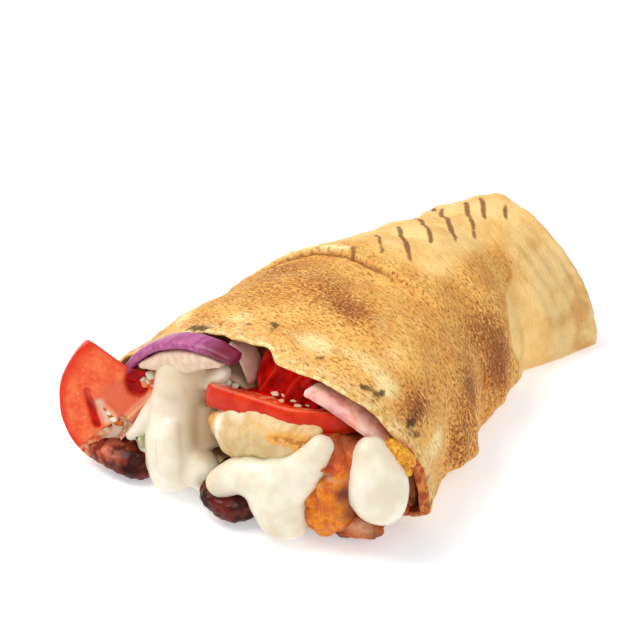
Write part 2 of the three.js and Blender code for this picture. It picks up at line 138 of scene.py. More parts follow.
def noise(points, size, seed=0):
    """Smooth noise from −1 to 1. Space is cut into cells of the given size, which may differ from
    axis to axis. Each corner has a random height, and a cell's eight are blended by 3t² − 2t³."""
    p = points / np.array(size, float) + SEED_STEP * seed
    cell = np.floor(p).astype(np.int64)
    f = p - cell
    f = f * f * (3 - 2 * f)
    total = 0
    for corner in np.ndindex(2, 2, 2):
        mixed = np.bitwise_xor.reduce((cell + corner) * CORNER_MIX, -1) % len(CORNER_HEIGHTS)
        total = total + CORNER_HEIGHTS[mixed] * np.where(corner, f, 1 - f).prod(-1)
    return total


def rough(points, size, octaves=3, seed=0):
    """Noise at the given size, plus half as much at half the size, and so on."""
    sizes = [(0.5**k, np.array(size, float) * 0.5**k) for k in range(octaves)]
    return sum(share * noise(points, fine, seed + k) for k, (share, fine) in enumerate(sizes))


def spots(y, degrees, places):
    """Sum of soft spots (y, angle, half length, half angle, strength)."""
    return sum(
        strength * bell(np.hypot((y - spot_y) / long, (degrees - spot_degrees) / wide))
        for spot_y, spot_degrees, long, wide, strength in places
    )


def bread_relief(y, degrees, sharp):
    """How far the bread stands out at y and angle: the waves of PUFFS, the SWELLS, and the step of
    the flap, sharp or drawn out. All of it fades out towards the underside."""
    a = np.radians(degrees)
    above = smooth((np.sin(a) + 0.75) / 0.5)
    puffs = sum(high * np.sin(along * y + turns * a + phase) for high, along, turns, phase in PUFFS)
    step = 1.1 if sharp else 3
    flap = FLAP * smooth((y - seam_y(degrees)) / step) * ramp(degrees, 42, 34)
    return above * (puffs + spots(y, degrees, SWELLS) + flap)


def seam_y(degrees):
    """Where the flap's edge crosses each angle: at 82, bulging back 4 over the crest and bent 10
    forwards on the left."""
    return 82 + 4 * hump(degrees, 112, 16) - 10 * ramp(degrees, 135, 45)


def section(y, right, above):
    """The superellipse at y, to the right or left and above or below its widest place: its half
    width there, and the power of its curve."""
    half = np.where(right, through(RIGHT_HALF, y), through(LEFT_HALF, y))
    roundness = np.where(right, through(RIGHT_ROUNDNESS, y), through(LEFT_ROUNDNESS, y))
    return half, np.where(above, roundness, through(UNDER_ROUNDNESS, y))


def bread_point(y, degrees, inset, bump=0, sharp=False):
    """The section at y is a superellipse about the height WIDEST_Z, with a flat underside. bump
    stands out of it, and inset is measured inwards from the outside."""
    c, s = np.cos(np.radians(degrees)), np.sin(np.radians(degrees))
    out = bread_relief(y, degrees, sharp) + bump - inset
    half, power = section(y, c >= 0, s >= 0)
    middle = through(WIDEST_Z, y)
    rise = np.where(s >= 0, through(TOP, y) - middle + out, middle + PRESSED - inset)
    x = np.sign(c) * (half + out) * np.abs(c) ** (2 / power)
    z = middle + np.sign(s) * rise * np.abs(s) ** (2 / power)
    return np.stack([x, y + 0 * x, np.maximum(z, inset)], -1)


def bread_cup(around, inside, lip, outside, tail, fine=False):
    """The bread as rings: forwards along the hollow, round the lip in a half circle, back along
    the outside, then shrinking to the middle of the tail by TAIL_FOLD. Only the fine one has a
    torn lip, blisters and creases. Gives y, angle, the kind of ring and the points."""
    even = 360 * np.arange(around) / around - 90
    degrees = (even + RING_SPREAD * np.sin(np.radians(2 * even)))[None, :]
    deepest = (HOLLOW_END_Y - MOUTH_Y) / (TAIL_Y - MOUTH_Y)
    turn = np.linspace(0, np.pi, lip + 2)[1:-1]
    fold = np.linspace(0, 1, tail + 1)[1:]
    share = [deepest * (1 - np.linspace(0, 1, inside)) ** 1.6, 0 * turn, np.linspace(0, 1, outside)]
    share = np.concatenate([*share, 1 + 0 * fold])[:, None]
    inner = np.concatenate([np.ones(inside), (1 + np.cos(turn)) / 2, np.zeros(outside + tail)])
    forward = np.zeros(len(share))
    forward[inside : inside + lip] = LIP_BULGE * np.sin(turn)
    lip_y = through(LIP, degrees)
    if fine:
        lip_y = lip_y + torn_lip(degrees) - inner[:, None] * lip_bevel(degrees)
    y = mix(lip_y - forward[:, None], TAIL_Y, share)
    degrees = degrees + 0 * y
    inset = inner[:, None] * BREAD * (lip_thinning(y - lip_y, degrees) if fine else 1)
    points = bread_point(y, degrees, inset)
    if fine:
        points = bread_point(y, degrees, inset, bread_bump(y, degrees, points), True)
    stops = np.linspace(0, 1, len(TAIL_FOLD))
    kept, out = (np.interp(fold, stops, column)[:, None] for column in zip(*TAIL_FOLD))
    shrunk = (points[-tail:] - TAIL_CENTRE) * kept[..., None]
    edge = FOLD_SLOPE * shrunk[..., 0] - FOLD_DROP
    step = 1.4 if fine else 5
    over = BREAD * (smooth((shrunk[..., 2] - edge) / step) - 0.6) * ramp(kept, 1, -0.25)
    points[-tail:] = shrunk + TAIL_CENTRE
    points[-tail:, :, 1] = TAIL_Y + out + over
    points[..., 2] = np.maximum(points[..., 2], 0)
    kinds = [HOLLOW, ROUNDED, OUTER, FOLDED]
    kind = np.repeat(kinds, [inside, lip, outside, tail])[:, None] + 0 * y
    return y, degrees, kind, points


# The shapes are worked out in millimetres about the wrap's axis, and the frame's own place for the
# bread says how far that is from the frame's origin.
plain_bread = bread_cup(720, 2, 3, 240, 60)[3]
low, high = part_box("flatbread")
SHIFT = np.array([(low[i] + high[i]) / 2 / MM for i in (0, 1)] + [0])
SHIFT[:2] -= (plain_bread.min((0, 1)) + plain_bread.max((0, 1)))[:2] / 2


def solid(name, points, faces, marks=None):
    """A mesh object from points (in millimetres about the wrap's axis), lists of faces and named
    values at each point."""
    mesh = bpy.data.meshes.new(name)
    flat = points.reshape(-1, 3)
    mesh.from_pydata(((flat + SHIFT) * MM).tolist(), [], sum((f.tolist() for f in faces), []))
    for mark, value in (marks or {}).items():
        mark = mesh.attributes.new(mark, "FLOAT", "POINT")
        mark.data.foreach_set("value", np.ascontiguousarray(value, np.float32).ravel())
    mesh.shade_smooth()
    piece = bpy.data.objects.new(name, mesh)
    scene.collection.objects.link(piece)
    return piece


def closed(rings):
    """Points and faces of a closed body through the rings (n, m, 3): a sheet of quads between them,
    closed at both ends by triangles to the ring's own middle."""
    n, m = rings.shape[:2]
    k = np.arange(m)
    after = (k + 1) % m
    first = 1 + m * np.arange(n - 1)[:, None]
    quads = np.stack([first + k, first + m + k, first + m + after, first + after], -1)
    end = 1 + m * (n - 1)
    start_cap = np.stack([0 * k, 1 + k, 1 + after], -1)
    end_cap = np.stack([0 * k + 1 + m * n, end + after, end + k], -1)
    points = np.concatenate([rings[0].mean(0)[None], rings.reshape(-1, 3), rings[-1].mean(0)[None]])
    return points, [np.concatenate([start_cap, end_cap]), quads.reshape(-1, 4)]


def lofted(name, rings, marks=None):
    """A closed body through the rings, with named values at each point of them."""
    ends = {}
    for mark, value in (marks or {}).items():
        value = value + np.zeros(rings.shape[:2])
        ends[mark] = np.concatenate([[value[0].mean()], value.ravel(), [value[-1].mean()]])
    return solid(name, *closed(rings), ends)


def gathered(name, bodies):
    """Several closed bodies as one mesh."""
    parts = [closed(rings) for rings in bodies]
    starts = np.cumsum([0] + [len(points) for points, faces in parts])
    faces = [start + face for start, (points, both) in zip(starts, parts) for face in both]
    return solid(name, np.concatenate([points for points, both in parts]), faces)


def kept_inside(points, gap=0.6):
    """The points behind the lip drawn in to the bread's inner surface where they pass it: x and the
    height over the middle are divided by the superellipse's own measure f of the point."""
    x, y, z = np.moveaxis(points, -1, 0)
    right = x >= 0
    middle = through(WIDEST_Z, y)
    above = z >= middle
    half, power = section(y, right, above)
    rise = np.where(above, through(TOP, y) - middle, middle)
    for k in range(2):
        inset = BREAD + gap - (bread_relief(y, degrees, False) if k else 0)
        across = np.abs(x) / (half - inset)
        up = np.abs(z - middle) / np.maximum(rise - np.where(above, inset, BREAD + gap), 1)
        f = (across**power + up**power) ** (1 / power)
        degrees = np.degrees(np.arctan2(up ** (power / 2), across ** (power / 2)))
        degrees = np.where(right, degrees, 180 - degrees) * np.where(above, 1, -1)
    degrees = np.where(degrees < -90, degrees + 360, degrees)
    behind = smooth((y - through(LIP, degrees) + 1) / 3)
    shrink = mix(1, 1 / np.maximum(f, 1), behind)
    return np.stack([x * shrink, y, middle + (z - middle) * shrink], -1)


def linear(red, green, blue):
    """A colour of the screen, 0 to 255, as the light that a shader takes."""
    c = np.array([red, green, blue]) / 255
    return tuple(np.where(c <= 0.04045, c / 12.92, ((c + 0.055) / 1.055) ** 2.4)) + (1,)


class Finish:
    """A material built of nodes round one Principled shader. Each method adds a node and gives back
    its result. An input takes such a result or a constant, a colour also three screen values."""

    def __init__(self, name, rough=0.5, shine=0.5, soft=0, depth=0.002):
        """soft is the share of light that spreads under the surface, depth how far, in metres."""
        self.material = bpy.data.materials.new(name)
        self.material.use_nodes = True
        self.tree = self.material.node_tree
        self.shader = next(n for n in self.tree.nodes if n.type == "BSDF_PRINCIPLED")
        self.set(Roughness=rough, Specular_IOR_Level=shine, Subsurface_Weight=soft,
                 Subsurface_Scale=depth)

    def wire(self, node, inputs):
        """The node's inputs, by name or number, get their values."""
        for key, value in inputs.items():
            if isinstance(value, bpy.types.NodeSocket):
                self.tree.links.new(value, node.inputs[key])
            else:
                node.inputs[key].default_value = value

    def set(self, **inputs):
        """The shader's own inputs get their values."""
        self.wire(self.shader, {name.replace("_", " "): value for name, value in inputs.items()})

    def node(self, kind, inputs=None, **settings):
        """The outputs of a new node with those inputs and settings."""
        node = self.tree.nodes.new("ShaderNode" + kind)
        for key, value in settings.items():
            setattr(node, key, value)
        self.wire(node, inputs or {})
        return node.outputs

    def mark(self, name):
        """A value that the mesh holds at each point."""
        return self.node("Attribute", attribute_name=name)["Fac"]

    def lumps(self, where, stretch, scale, detail, roughness):
        """Noise from 0 to 1 over the stretched places."""
        where = self.node("Mapping", {"Vector": where, "Scale": stretch})["Vector"]
        inputs = {"Vector": where, "Scale": scale, "Detail": detail, "Roughness": roughness}
        return self.node("TexNoise", inputs)["Fac"]

    def grain(self, size, detail=2.0, stretch=(1, 1, 1), roughness=0.5):
        """Noise from 0 to 1 with lumps of the given size in millimetres."""
        where = self.node("TexCoord")["Object"]
        return self.lumps(where, stretch, 1 / (size * MM), detail, roughness)

    def strokes(self, around, along, detail, roughness):
        """Noise from 0 to 1, its lumps that long round the roll and along it, in millimetres."""
        where = self.node("CombineXYZ", {"X": self.mark("arc"), "Y": self.mark("far")})["Vector"]
        return self.lumps(where, (1 / around, 1 / along, 1), 1.0, detail, roughness)

    def sum(self, a, b, c=0.0):
        """a · b + c."""
        return self.node("Math", {0: a, 1: b, 2: c}, operation="MULTIPLY_ADD")[0]

    def between(self, value, low, high, to=(0, 1)):
        """value brought from low…high to the range to, with soft ends."""
        ends = {"From Min": low, "From Max": high, "To Min": to[0], "To Max": to[1]}
        inputs = {"Value": value, **ends}
        return self.node("MapRange", inputs, interpolation_type="SMOOTHSTEP")["Result"]

    def blend(self, share, under, over):
        """Colour under, with over laid on it by share."""
        tones = [linear(*tone) if isinstance(tone, tuple) else tone for tone in (under, over)]
        return self.node("Mix", {0: share, 6: tones[0], 7: tones[1]}, data_type="RGBA")[2]

    def mottled(self, grain, low, high, under, over):
        """Colour under, with over laid on it where the grain is high."""
        return self.blend(self.between(grain, low, high), under, over)

    def paint(self, under, *layers):
        """Base colour under, with layers (share, colour) laid on it in turn. A share is a result,
        the name of a mark, or (value, low, high, most): from 0 to most, or to 1, with soft ends."""
        for share, over in layers:
            if isinstance(share, str):
                share = self.mark(share)
            elif isinstance(share, tuple):
                value, low, high, *most = share
                share = self.between(value, low, high, (0, *(most or [1])))
            under = self.blend(share, under, over)
        self.set(Base_Color=under)

    def near(self, place, reach, strongest):
        """strongest at a place, 0 from the distance reach, in millimetres about the wrap's axis."""
        place = ((np.array(place) + SHIFT) * MM).tolist()
        where = self.node("TexCoord")["Object"]
        far = self.node("VectorMath", {0: where, 1: place}, operation="DISTANCE")["Value"]
        return self.between(far, 0, reach * MM, (strongest, 0))

    def bump(self, height, depth, over=None):
        """A fine relief: height 0…1 raised by depth millimetres, over another relief."""
        inputs = {"Height": height, "Distance": depth * MM, "Strength": 1.0}
        return self.node("Bump", {**inputs, "Normal": over} if over else inputs)["Normal"]


def finished(piece, finish, slot, *nodes):
    """The piece gets its material, rides on the wrap and stands for the nodes. slot is not used."""
    piece.data.materials.append(finish.material)
    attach(piece, "root")
    if nodes:
        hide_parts(*nodes)


TOASTED = [  # y, angle, half length, half angle, strength, as in the next two
    (50, 75, 7, 8, 1.0), (56, 86, 8, 8, 0.5), (36, 32, 8, 7, 1.1), (98, 12, 8, 10, 0.7),
    (68, 116, 13, 13, 0.6), (45, 108, 15, 14, 0.3), (72, 17, 7, 9, 1.0), (103, 20, 8, 17, 0.95),
    (96, 36, 8, 8, 0.4), (60, 4, 7, 13, 0.75), (84, 30, 14, 12, 0.3), (62, 95, 12, 9, 0.3),
    (21, 108, 5, 14, 0.5), (30, 65, 4, 6, 0.35), (34, 148, 12, 13, 0.5), (74, 158, 13, 13, 0.8),
    (106, 146, 11, 12, 0.5), (132, 168, 9, 12, 0.4), (50, 180, 12, 10, 0.5), (120, -8, 10, 8, 0.3),
]
PALE = [
    (32, 60, 6, 11, 0.7), (46, 50, 6, 7, 0.5), (40, 14, 12, 6, 0.6), (27, 100, 5, 9, 0.6),
    (28, 76, 7, 6, 0.6), (30, 45, 6, 5, 0.5), (30, 127, 8, 6, 0.6), (60, 60, 10, 8, 0.2),
]
CHARRED = [
    (19.6, 112, 2.2, 3.9, 1.1), (19.2, 107.5, 1.6, 2.6, 0.9), (22, 104.5, 2.1, 1.6, 0.6),
    (26, 87.5, 3.1, 1.6, 0.7), (29, 88.5, 1.7, 1.6, 0.7), (31.5, 84, 2.1, 1.5, 0.5),
    (22.5, 70.5, 1.6, 1.5, 1), (21.5, 63, 1.8, 1.5, 0.6), (25, 62.2, 1.3, 1.5, 0.6),
    (24, 50.5, 2.1, 1.7, 0.9), (24.8, 46.5, 2.2, 2.2, 1), (21.6, 44.5, 1.3, 1.6, 0.6),
    (29.5, 29, 2.5, 2.3, 1), (30, 23.5, 2.1, 1.8, 1), (27.4, 26, 1.3, 1.6, 0.8),
    (25.5, 33, 1.3, 2.1, 0.8), (30, 6, 1.8, 2.1, 0.9), (32, -2, 1.8, 2.1, 0.9),
    (27, 15, 1.7, 2.6, 0.8), (27.5, 46, 1.6, 1.6, 0.9), (24, 94, 2.1, 3.2, 0.7),
    (24, 100.5, 2.3, 2.9, 0.6), (21.5, 116, 1.6, 2.1, 0.9), (23, 52.5, 1.8, 1.5, 0.9),
    (37, 31, 4.2, 3.4, 0.6), (31, 30.5, 2.6, 2.1, 0.5), (19.5, 122, 1.3, 2.1, 0.6),
    (24, 136, 1.8, 2.6, 0.8), (26, 150, 2.1, 3.1, 0.8),
]
GRILL_SLANT = (0.76, 0.65)  # the marks of the grill's bars run aslant over the top
GRILL_WIDE = 1.15
GRILL_MARKS = [  # how far along the slant, and between which values of x
    (51.5, -10, -2), (61, -13, 4), (70, -13, 13.5), (79, -24, 10.5), (88.7, -28, 13),
    (97.4, -9, 12), (103, -5, 8), (111, 5, 13),
]
TAIL_LINE = [(-90, 124), (0, 120), (12, 115), (30, 118), (45, 138), (64, 142), (90, 147)]


def grill_marks(points, y):
    """Straight dark bars: each is a bell across its line in plan, between two values of x."""
    x = points[..., 0]
    across = x * GRILL_SLANT[0] + y * GRILL_SLANT[1] + 0.8 * noise(points, 6, 21)
    total = 0
    for place, left, right in GRILL_MARKS:
        line = hump(across, place, GRILL_WIDE)
        total = total + line * ramp(x, left, 3) * ramp(x, right, -3)
    top = ramp(points[..., 2], 30, 8)
    return total * top * (1 + 0.3 * noise(points, 5, 23))


def tail_line(degrees):
    """Where the toasted outer layer ends on the right side and the smooth folded end begins."""
    return through(TAIL_LINE, degrees)


def bread_bump(y, degrees, points):
    """Blisters and creases a millimetre or less high, over the rolled form."""
    above = ramp(points[..., 2], 3, 6)
    blisters = 0.65 * rough(points, 11, 3, 3) + 0.22 * rough(points, 2.6, 3, 8)
    lift = bell((y - seam_y(degrees) - 2.5) / 4) * ramp(degrees, 88, 16)
    layer = 0.8 * (1 - smooth((y - tail_line(degrees)) / 2)) * ramp(degrees, 80, -20)
    pleats = np.sin(1.05 * y + 1.7 * noise(points, (9, 20, 9), 4) + 0.02 * degrees)
    pleats = 0.35 * pleats * ramp(y, 142, 8) * ramp(degrees, 72, -30)
    side = ramp(degrees, 24, -20) * ramp(y, 44, 8) * ramp(y, 118, -8)
    wrinkles = 0.7 * np.sin(0.85 * y + 0.06 * degrees + 2.4 * noise(points, 14, 6)) * side
    peak = 1.6 * hump(y, 167, 3) * hump(degrees, 87, 6)
    return above * (blisters + lift + layer + pleats + wrinkles + peak)


def lip_bevel(degrees):
    """How much further forward the inner edge of the lip reaches than its outer edge."""
    return 3.2 * hump(degrees, -8, 30)


def lip_thinning(past, degrees):
    """The share of its thickness that the bread has that far behind its lip: it thins over the
    last 9 towards the lip, on its top."""
    on_top = ramp(degrees, 20, 25) * ramp(degrees, 200, -20)
    return 1 - 0.5 * (1 - smooth(past / 9)) * on_top


def torn_lip(degrees):
    """How unevenly the edge of the bread ends, along y."""
    at = np.stack([degrees, 0 * degrees, 0 * degrees], -1)
    notch = 3.0 * hump(degrees, 84, 4)
    return notch + 0.8 * rough(at, (9, 1, 1), 3, 12)


y, degrees, kind, rings = bread_cup(AROUND, 46, 7, 226, 22, fine=True)
outside = kind >= OUTER
step = np.linalg.norm(np.diff(rings, axis=1, append=rings[:, :1]), axis=-1)
arc = np.cumsum(step, axis=1) - step
arc = arc - arc[:, AROUND // 4, None]
past_seam = y - seam_y(degrees)
# painted shadow: a dark line along the foot of the flap's raised edge, where its step would cast
# shade
seam = hump(past_seam, -0.3, 0.6) * ramp(degrees, 68, 16)
past_lip = y - through(LIP, degrees)
# painted shadow: a dark line at the foot of the step where the toasted outer layer ends on the tail
tail_step = bell((y - tail_line(degrees) - 1.5) / 1.2) * ramp(degrees, 60, -30)
# painted highlight: a paler band along the crest of the flap's raised edge, added to the pale mark
flap_edge = 0.8 * hump(past_seam, 2.2, 1.6) * ramp(degrees, 92, 10)
smooth_end = np.maximum(
    ramp(past_seam, 4, 14) * ramp(degrees, 58, 12),
    smooth((y - tail_line(degrees)) / 5),
)
bread = lofted(
    "flatbread_toasted", rings,
    {
        "arc": arc,
        "far": y + 0 * arc,
        "toast": np.clip(spots(y, degrees, TOASTED), 0, 1.2) * outside,
        # pale patches of the bread, with the painted highlight on the flap's crest
        "pale": np.clip(spots(y, degrees, PALE) + flap_edge, 0, 1) * outside,
        "char": np.clip(spots(y, degrees, CHARRED), 0, 1.2) * (kind > HOLLOW),
        "grill": np.clip(grill_marks(rings, y), 0, 1) * outside,
        "smooth": smooth_end,
        "seam": (seam + 0.35 * tail_step) * outside,
        "inside": (kind == HOLLOW) * ramp(y, 14, 4),
        "edge": kind == ROUNDED,
        "rim": hump(past_lip, 1, 4.5) * (kind > HOLLOW),
        "red": ramp(degrees, 34, -16) * (kind < OUTER),
        "end": ramp(y, 140, 14) * ramp(degrees, 70, -30),
        "rolled": (kind < FOLDED) * ramp(y, TAIL_Y, -4),
    },
)

baked = Finish("baked flatbread", 0.62, 0.2, 0.04)
toast, pale, even, rolled, red, rim = (
    baked.mark(mark) for mark in ("toast", "pale", "smooth", "rolled", "red", "rim")
)
cloud = baked.grain(13, 3)
mottle = baked.grain(2.6, 4, roughness=0.65)
STROKES = [  # length round and along, detail and roughness
    (4.2, 2.3, 4, 0.65), (2.6, 0.95, 3, 0.65), (1.2, 0.75, 2, 0.6),
]
MEAN = 0.47  # about what the noise is on average, in place of the strokes on the folded tail
calm = baked.sum(rolled, -MEAN, MEAN)
blotch, stroke, speck = (baked.sum(baked.strokes(*sizes), rolled, calm) for sizes in STROKES)
browning = baked.sum(even, -0.14, baked.sum(toast, 0.26, blotch))
strokes = baked.sum(pale, -0.07, baked.sum(even, -0.16, baked.sum(toast, 0.14, stroke)))
specks = baked.sum(pale, -0.1, baked.sum(even, -0.24, baked.sum(toast, 0.12, speck)))
barred = baked.sum(baked.mark("grill"), baked.between(mottle, 0.3, 0.55, (0.8, 1.1)))
charring = baked.sum(mottle, 1.7, baked.sum(baked.mark("char"), 1.0, -1.0))
folded = baked.mottled(cloud, 0.35, 0.65, (250, 210, 138), (238, 188, 112))
tail = baked.mottled(cloud, 0.4, 0.62, (228, 194, 134), (204, 152, 86))
cream = baked.mottled(mottle, 0.42, 0.6, (250, 222, 158), (226, 172, 96))
soaked = baked.mottled(mottle, 0.38, 0.62, (214, 128, 62), (158, 68, 26))
baked.paint(
    baked.mottled(cloud, 0.35, 0.65, (244, 188, 100), (228, 162, 78)),
    (even, folded),
    # pale patches, and the painted highlight on the flap's crest
    ((baked.sum(pale, 0.8, cloud), 0.62, 1.1), (253, 226, 160)),
    ((browning, 0.52, 0.84, 0.85), (200, 128, 58)),
    ((baked.sum(toast, 0.26, mottle), 0.64, 0.92, 0.7), (150, 86, 38)),
    ((speck, 0.44, 0.3, 0.55), (255, 226, 160)),
    ((strokes, 0.49, 0.66, 0.8), (178, 106, 46)),
    ((specks, 0.55, 0.69, 0.9), (130, 72, 28)),
    (baked.sum(baked.mark("end"), 0.8), tail),
    # the painted shadow at the foot of the flap's edge and of the tail's step
    (baked.sum(baked.mark("seam"), 0.95), (128, 68, 24)),
    ((barred, 0.3, 0.95, 0.85), (124, 66, 34)),
    (baked.sum(rim, 0.6), cream),
    ((baked.sum(rim, 0.12, stroke), 0.66, 0.78, 0.7), (110, 70, 30)),
    ("edge", cream),
    (red, soaked),
    ("inside", baked.blend(red, (226, 192, 146), soaked)),
    ((charring, 0.2, 0.85, 0.85), (62, 38, 16)),
)
relief = baked.bump(speck, 0.2, baked.bump(stroke, 0.45, baked.bump(blotch, 0.7)))
baked.set(Normal=relief)
finished(bread, baked, "flatbread", "flatbread")

# ------------------------------------------------------------------ the tomato slices
# Three pieces of a ripe tomato cut 7 mm thick: one standing on its edge at the left, one lying
# across the mouth under the bread, and a small wet piece wedged behind it.
TOMATO_RADIUS = 31
FACE = 0.97  # the share of the radius that the cut face takes
RIND = [  # the share of the radius and the depth behind the cut face, down the skin
    (FACE, 0.05), (0.983, 0.5), (0.996, 2.1), (1, 4.5), (0.99, 6), (0.95, 6.9), (0.5, 7),
]
CORNER = 1.6  # how sharply two cuts meet
ALL_ROUND = (-1, 361)  # the angles of a cut that goes right across the slice


def unit(v):
    """The vector made one long."""
    v = np.array(v, float)
    return v / np.linalg.norm(v, axis=-1, keepdims=True)


def follow(path, t):
    """The columns of the path at t, each as a smooth curve through its rows from t 0 to 1."""
    stops = np.linspace(0, 1, len(path))
    return [through(list(zip(stops, column)), t) for column in zip(*path)]


def near_line(x, y, path):
    """How far each point (x, y) is from a line through the points of a path."""
    far = 1e9 + 0 * x
    for (x0, y0), (x1, y1) in zip(path[:-1], path[1:]):
        length = (x1 - x0) ** 2 + (y1 - y0) ** 2
        t = np.clip(((x - x0) * (x1 - x0) + (y - y0) * (y1 - y0)) / length, 0, 1)
        far = np.minimum(far, np.hypot(x - x0 - t * (x1 - x0), y - y0 - t * (y1 - y0)))
    return far


class Slice:
    """A slice of tomato: out is the way its cut face looks and along lies in that face. Its edge
    at angle a is as far off as the soft minimum of the radius and of the straight cuts (angle,
    distance, and between which angles it holds), which slope inwards behind the face by lean.
    The skin bulges outwards behind the face by the profile RIND."""

    def __init__(self, middle, out, along, radius, cuts, around=280, across=90, lean=0):
        self.w = unit(out)
        self.u = unit(np.array(along, float) - self.w * np.dot(along, self.w))
        self.v = np.cross(self.w, self.u)
        self.middle = np.array(middle, float)
        share, depth = follow(RIND, np.linspace(0, 1, 44))
        share = np.concatenate([np.linspace(0.02, FACE - 0.003, across), share])
        depth = np.concatenate([np.zeros(across), depth])
        a = np.linspace(0, 2 * np.pi, around, endpoint=False)[None, :]
        self.share, self.depth = share[:, None] + 0 * a, depth[:, None] + 0 * a
        sides = [radius + 0 * self.depth]
        for direction, distance, *span in cuts:
            facing_it = np.cos(a - np.radians(direction))
            first, last = span or ALL_ROUND
            held = (facing_it > 0.05) & (np.degrees(a) > first) & (np.degrees(a) < last)
            near = (distance - lean * self.depth) / np.maximum(facing_it, 0.05)
            sides.append(np.where(held, near, 9 * radius))
        reach = -np.log(sum(np.exp(-CORNER * side) for side in sides)) / CORNER
        reach = reach + 0.25 * noise(np.stack([4 * np.cos(a), 4 * np.sin(a), 0 * a], -1), 1, 31)
        self.x, self.y = self.share * reach * np.cos(a), self.share * reach * np.sin(a)
        self.rim = reach * FACE - np.hypot(self.x, self.y)
        self.face = (np.arange(len(share)) < across)[:, None] * 1.0 + 0 * a
        self.skin = 1 - self.face

    def points(self, rise=0):
        """The rings, with the cut face standing out by rise."""
        out = self.face * rise * smooth(self.rim / 1.2) - self.depth
        flat = self.u * self.x[..., None] + self.v * self.y[..., None]
        return self.middle + flat + self.w * out[..., None]


flesh = Finish("cut tomato", soft=0.12)
cloud, fine = flesh.grain(5, 3), flesh.grain(1.1, 3)
flesh.paint(
    flesh.mottled(cloud, 0.35, 0.65, (228, 78, 34), (238, 112, 60)),
    ((fine, 0.5, 0.7, 0.35), (248, 150, 100)),
    ("pink", (224, 100, 66)),
    ("rim", (220, 48, 10)),
    ("deep", (160, 14, 6)),
    ("skin", flesh.mottled(cloud, 0.3, 0.7, (196, 30, 2), (214, 54, 9))),
    ("gel", flesh.mottled(cloud, 0.4, 0.62, (160, 1, 0), (212, 12, 1))),
    ("pale", (246, 186, 140)),
    ("cream", (236, 212, 186)),
)
wet = flesh.between(flesh.mark("gel"), 0.2, 0.8, (0.32, 0.14))
shine = flesh.between(flesh.mark("gel"), 0.2, 0.8, (0.22, 0.09))
flesh.set(Roughness=wet, Specular_IOR_Level=shine, Normal=flesh.bump(cloud, 0.4))


def tomato_marks(piece, **marks):
    """The values that the tomato's material reads, 0 where a slice doesn't name them."""
    none = {mark: 0 for mark in ("pink", "deep", "gel", "pale", "cream")}
    none["rim"] = bell(piece.rim / 2.2) * piece.face
    none["skin"] = piece.skin
    return {**none, **{mark: np.clip(value, 0, 1) for mark, value in marks.items()}}


left_slice = Slice(
    (-37.2, 8.7, 23.3), (0.44, -0.89, 0.1), (1, 0, 0), 0.85 * TOMATO_RADIUS,
    [(58, 10, 103, 200), (84, 13.6, 0, 103), (38, 12.5), (322, 4.2), (270, 22)], 300, 100, 0.6,
)
x, y = left_slice.x, left_slice.y
seed_pocket = smooth((1.2 - np.hypot((x + 0.4) / 3.9, (y - 8.6) / 5.4)) / 0.35)
seed = smooth((1 - np.hypot((x - 2.2) / 1.6, (y - 8.1) / 2.1)) / 0.5)
slot_line = [(-16.4, 3.2), (-15.2, -0.8), (-14.3, -4.5), (-13.1, -8.2)]
slot = smooth((1.9 - near_line(x, y, slot_line)) / 1.1) * (0.55 + 0.45 * ramp(y, 2, -4))
streak = bell(near_line(x, y, [(-12.6, -0.4), (-11.2, -3.2), (-9.8, -6.2)]) / 1.4)
left_arm = near_line(x, y, [(-14.9, 2.5), (-10.4, -1.2), (-7, -4.6), (-4.6, -8.5)])
right_arm = near_line(x, y, [(-4.6, -8.5), (-1.6, -4), (2.4, 0.8), (8.2, 9)])
inner_arm = near_line(x, y, [(-5.2, -5.5), (-1.6, -1), (4.6, 6.2)])
core = smooth((1.15 - np.hypot((x + 3.6) / 9.5, (y - 0.6) / 8)) / 0.4)
below = smooth((-3.2 - y - 0.95 * np.abs(x + 4.6)) / 1.5) + ramp(y, -9.5, -2) * ramp(x, -15, 4)
below = np.clip(below + smooth((0.78 * (x - 2.4) - 0.62 * (y - 0.8) - 1) / 1.2), 0, 1)
at = left_slice.points()
crumbly = smooth(noise(at, 1.5, 37) / 0.35)
rise = -2.0 * seed_pocket - 1.0 * slot - 1.2 * streak + 0.7 * bell(left_arm)
rise = rise + 0.9 * bell(right_arm / 1.1) + 0.4 * bell(inner_arm / 0.8)
rise = rise - 0.9 * core - 2.4 * below + 0.3 * rough(at, 5, 3, 31)
rise = rise + 1.6 * seed + 0.8 * below * crumbly
edge_lines = bell(left_arm / 0.7) * ramp(y, -0.5, -3) + hump(right_arm, 0.7, 0.6)
edge_lines = edge_lines + 0.5 * bell(inner_arm / 0.5)
piece = lofted(
    "tomato_left", left_slice.points(rise),
    tomato_marks(
        left_slice,
        pink=0.9 * core + 0.7 * bell(left_arm / 1.4),
        gel=(seed_pocket + slot) * (1 - seed),
        pale=0.75 * edge_lines * (1 - seed_pocket) + 0.35 * seed + 0.8 * below * crumbly,
        cream=0.85 * streak + 0.9 * below * (1 - crumbly) * ramp(x, -13, 3),
    ),
)
finished(piece, flesh, "tomato", "tomato_slice_left")

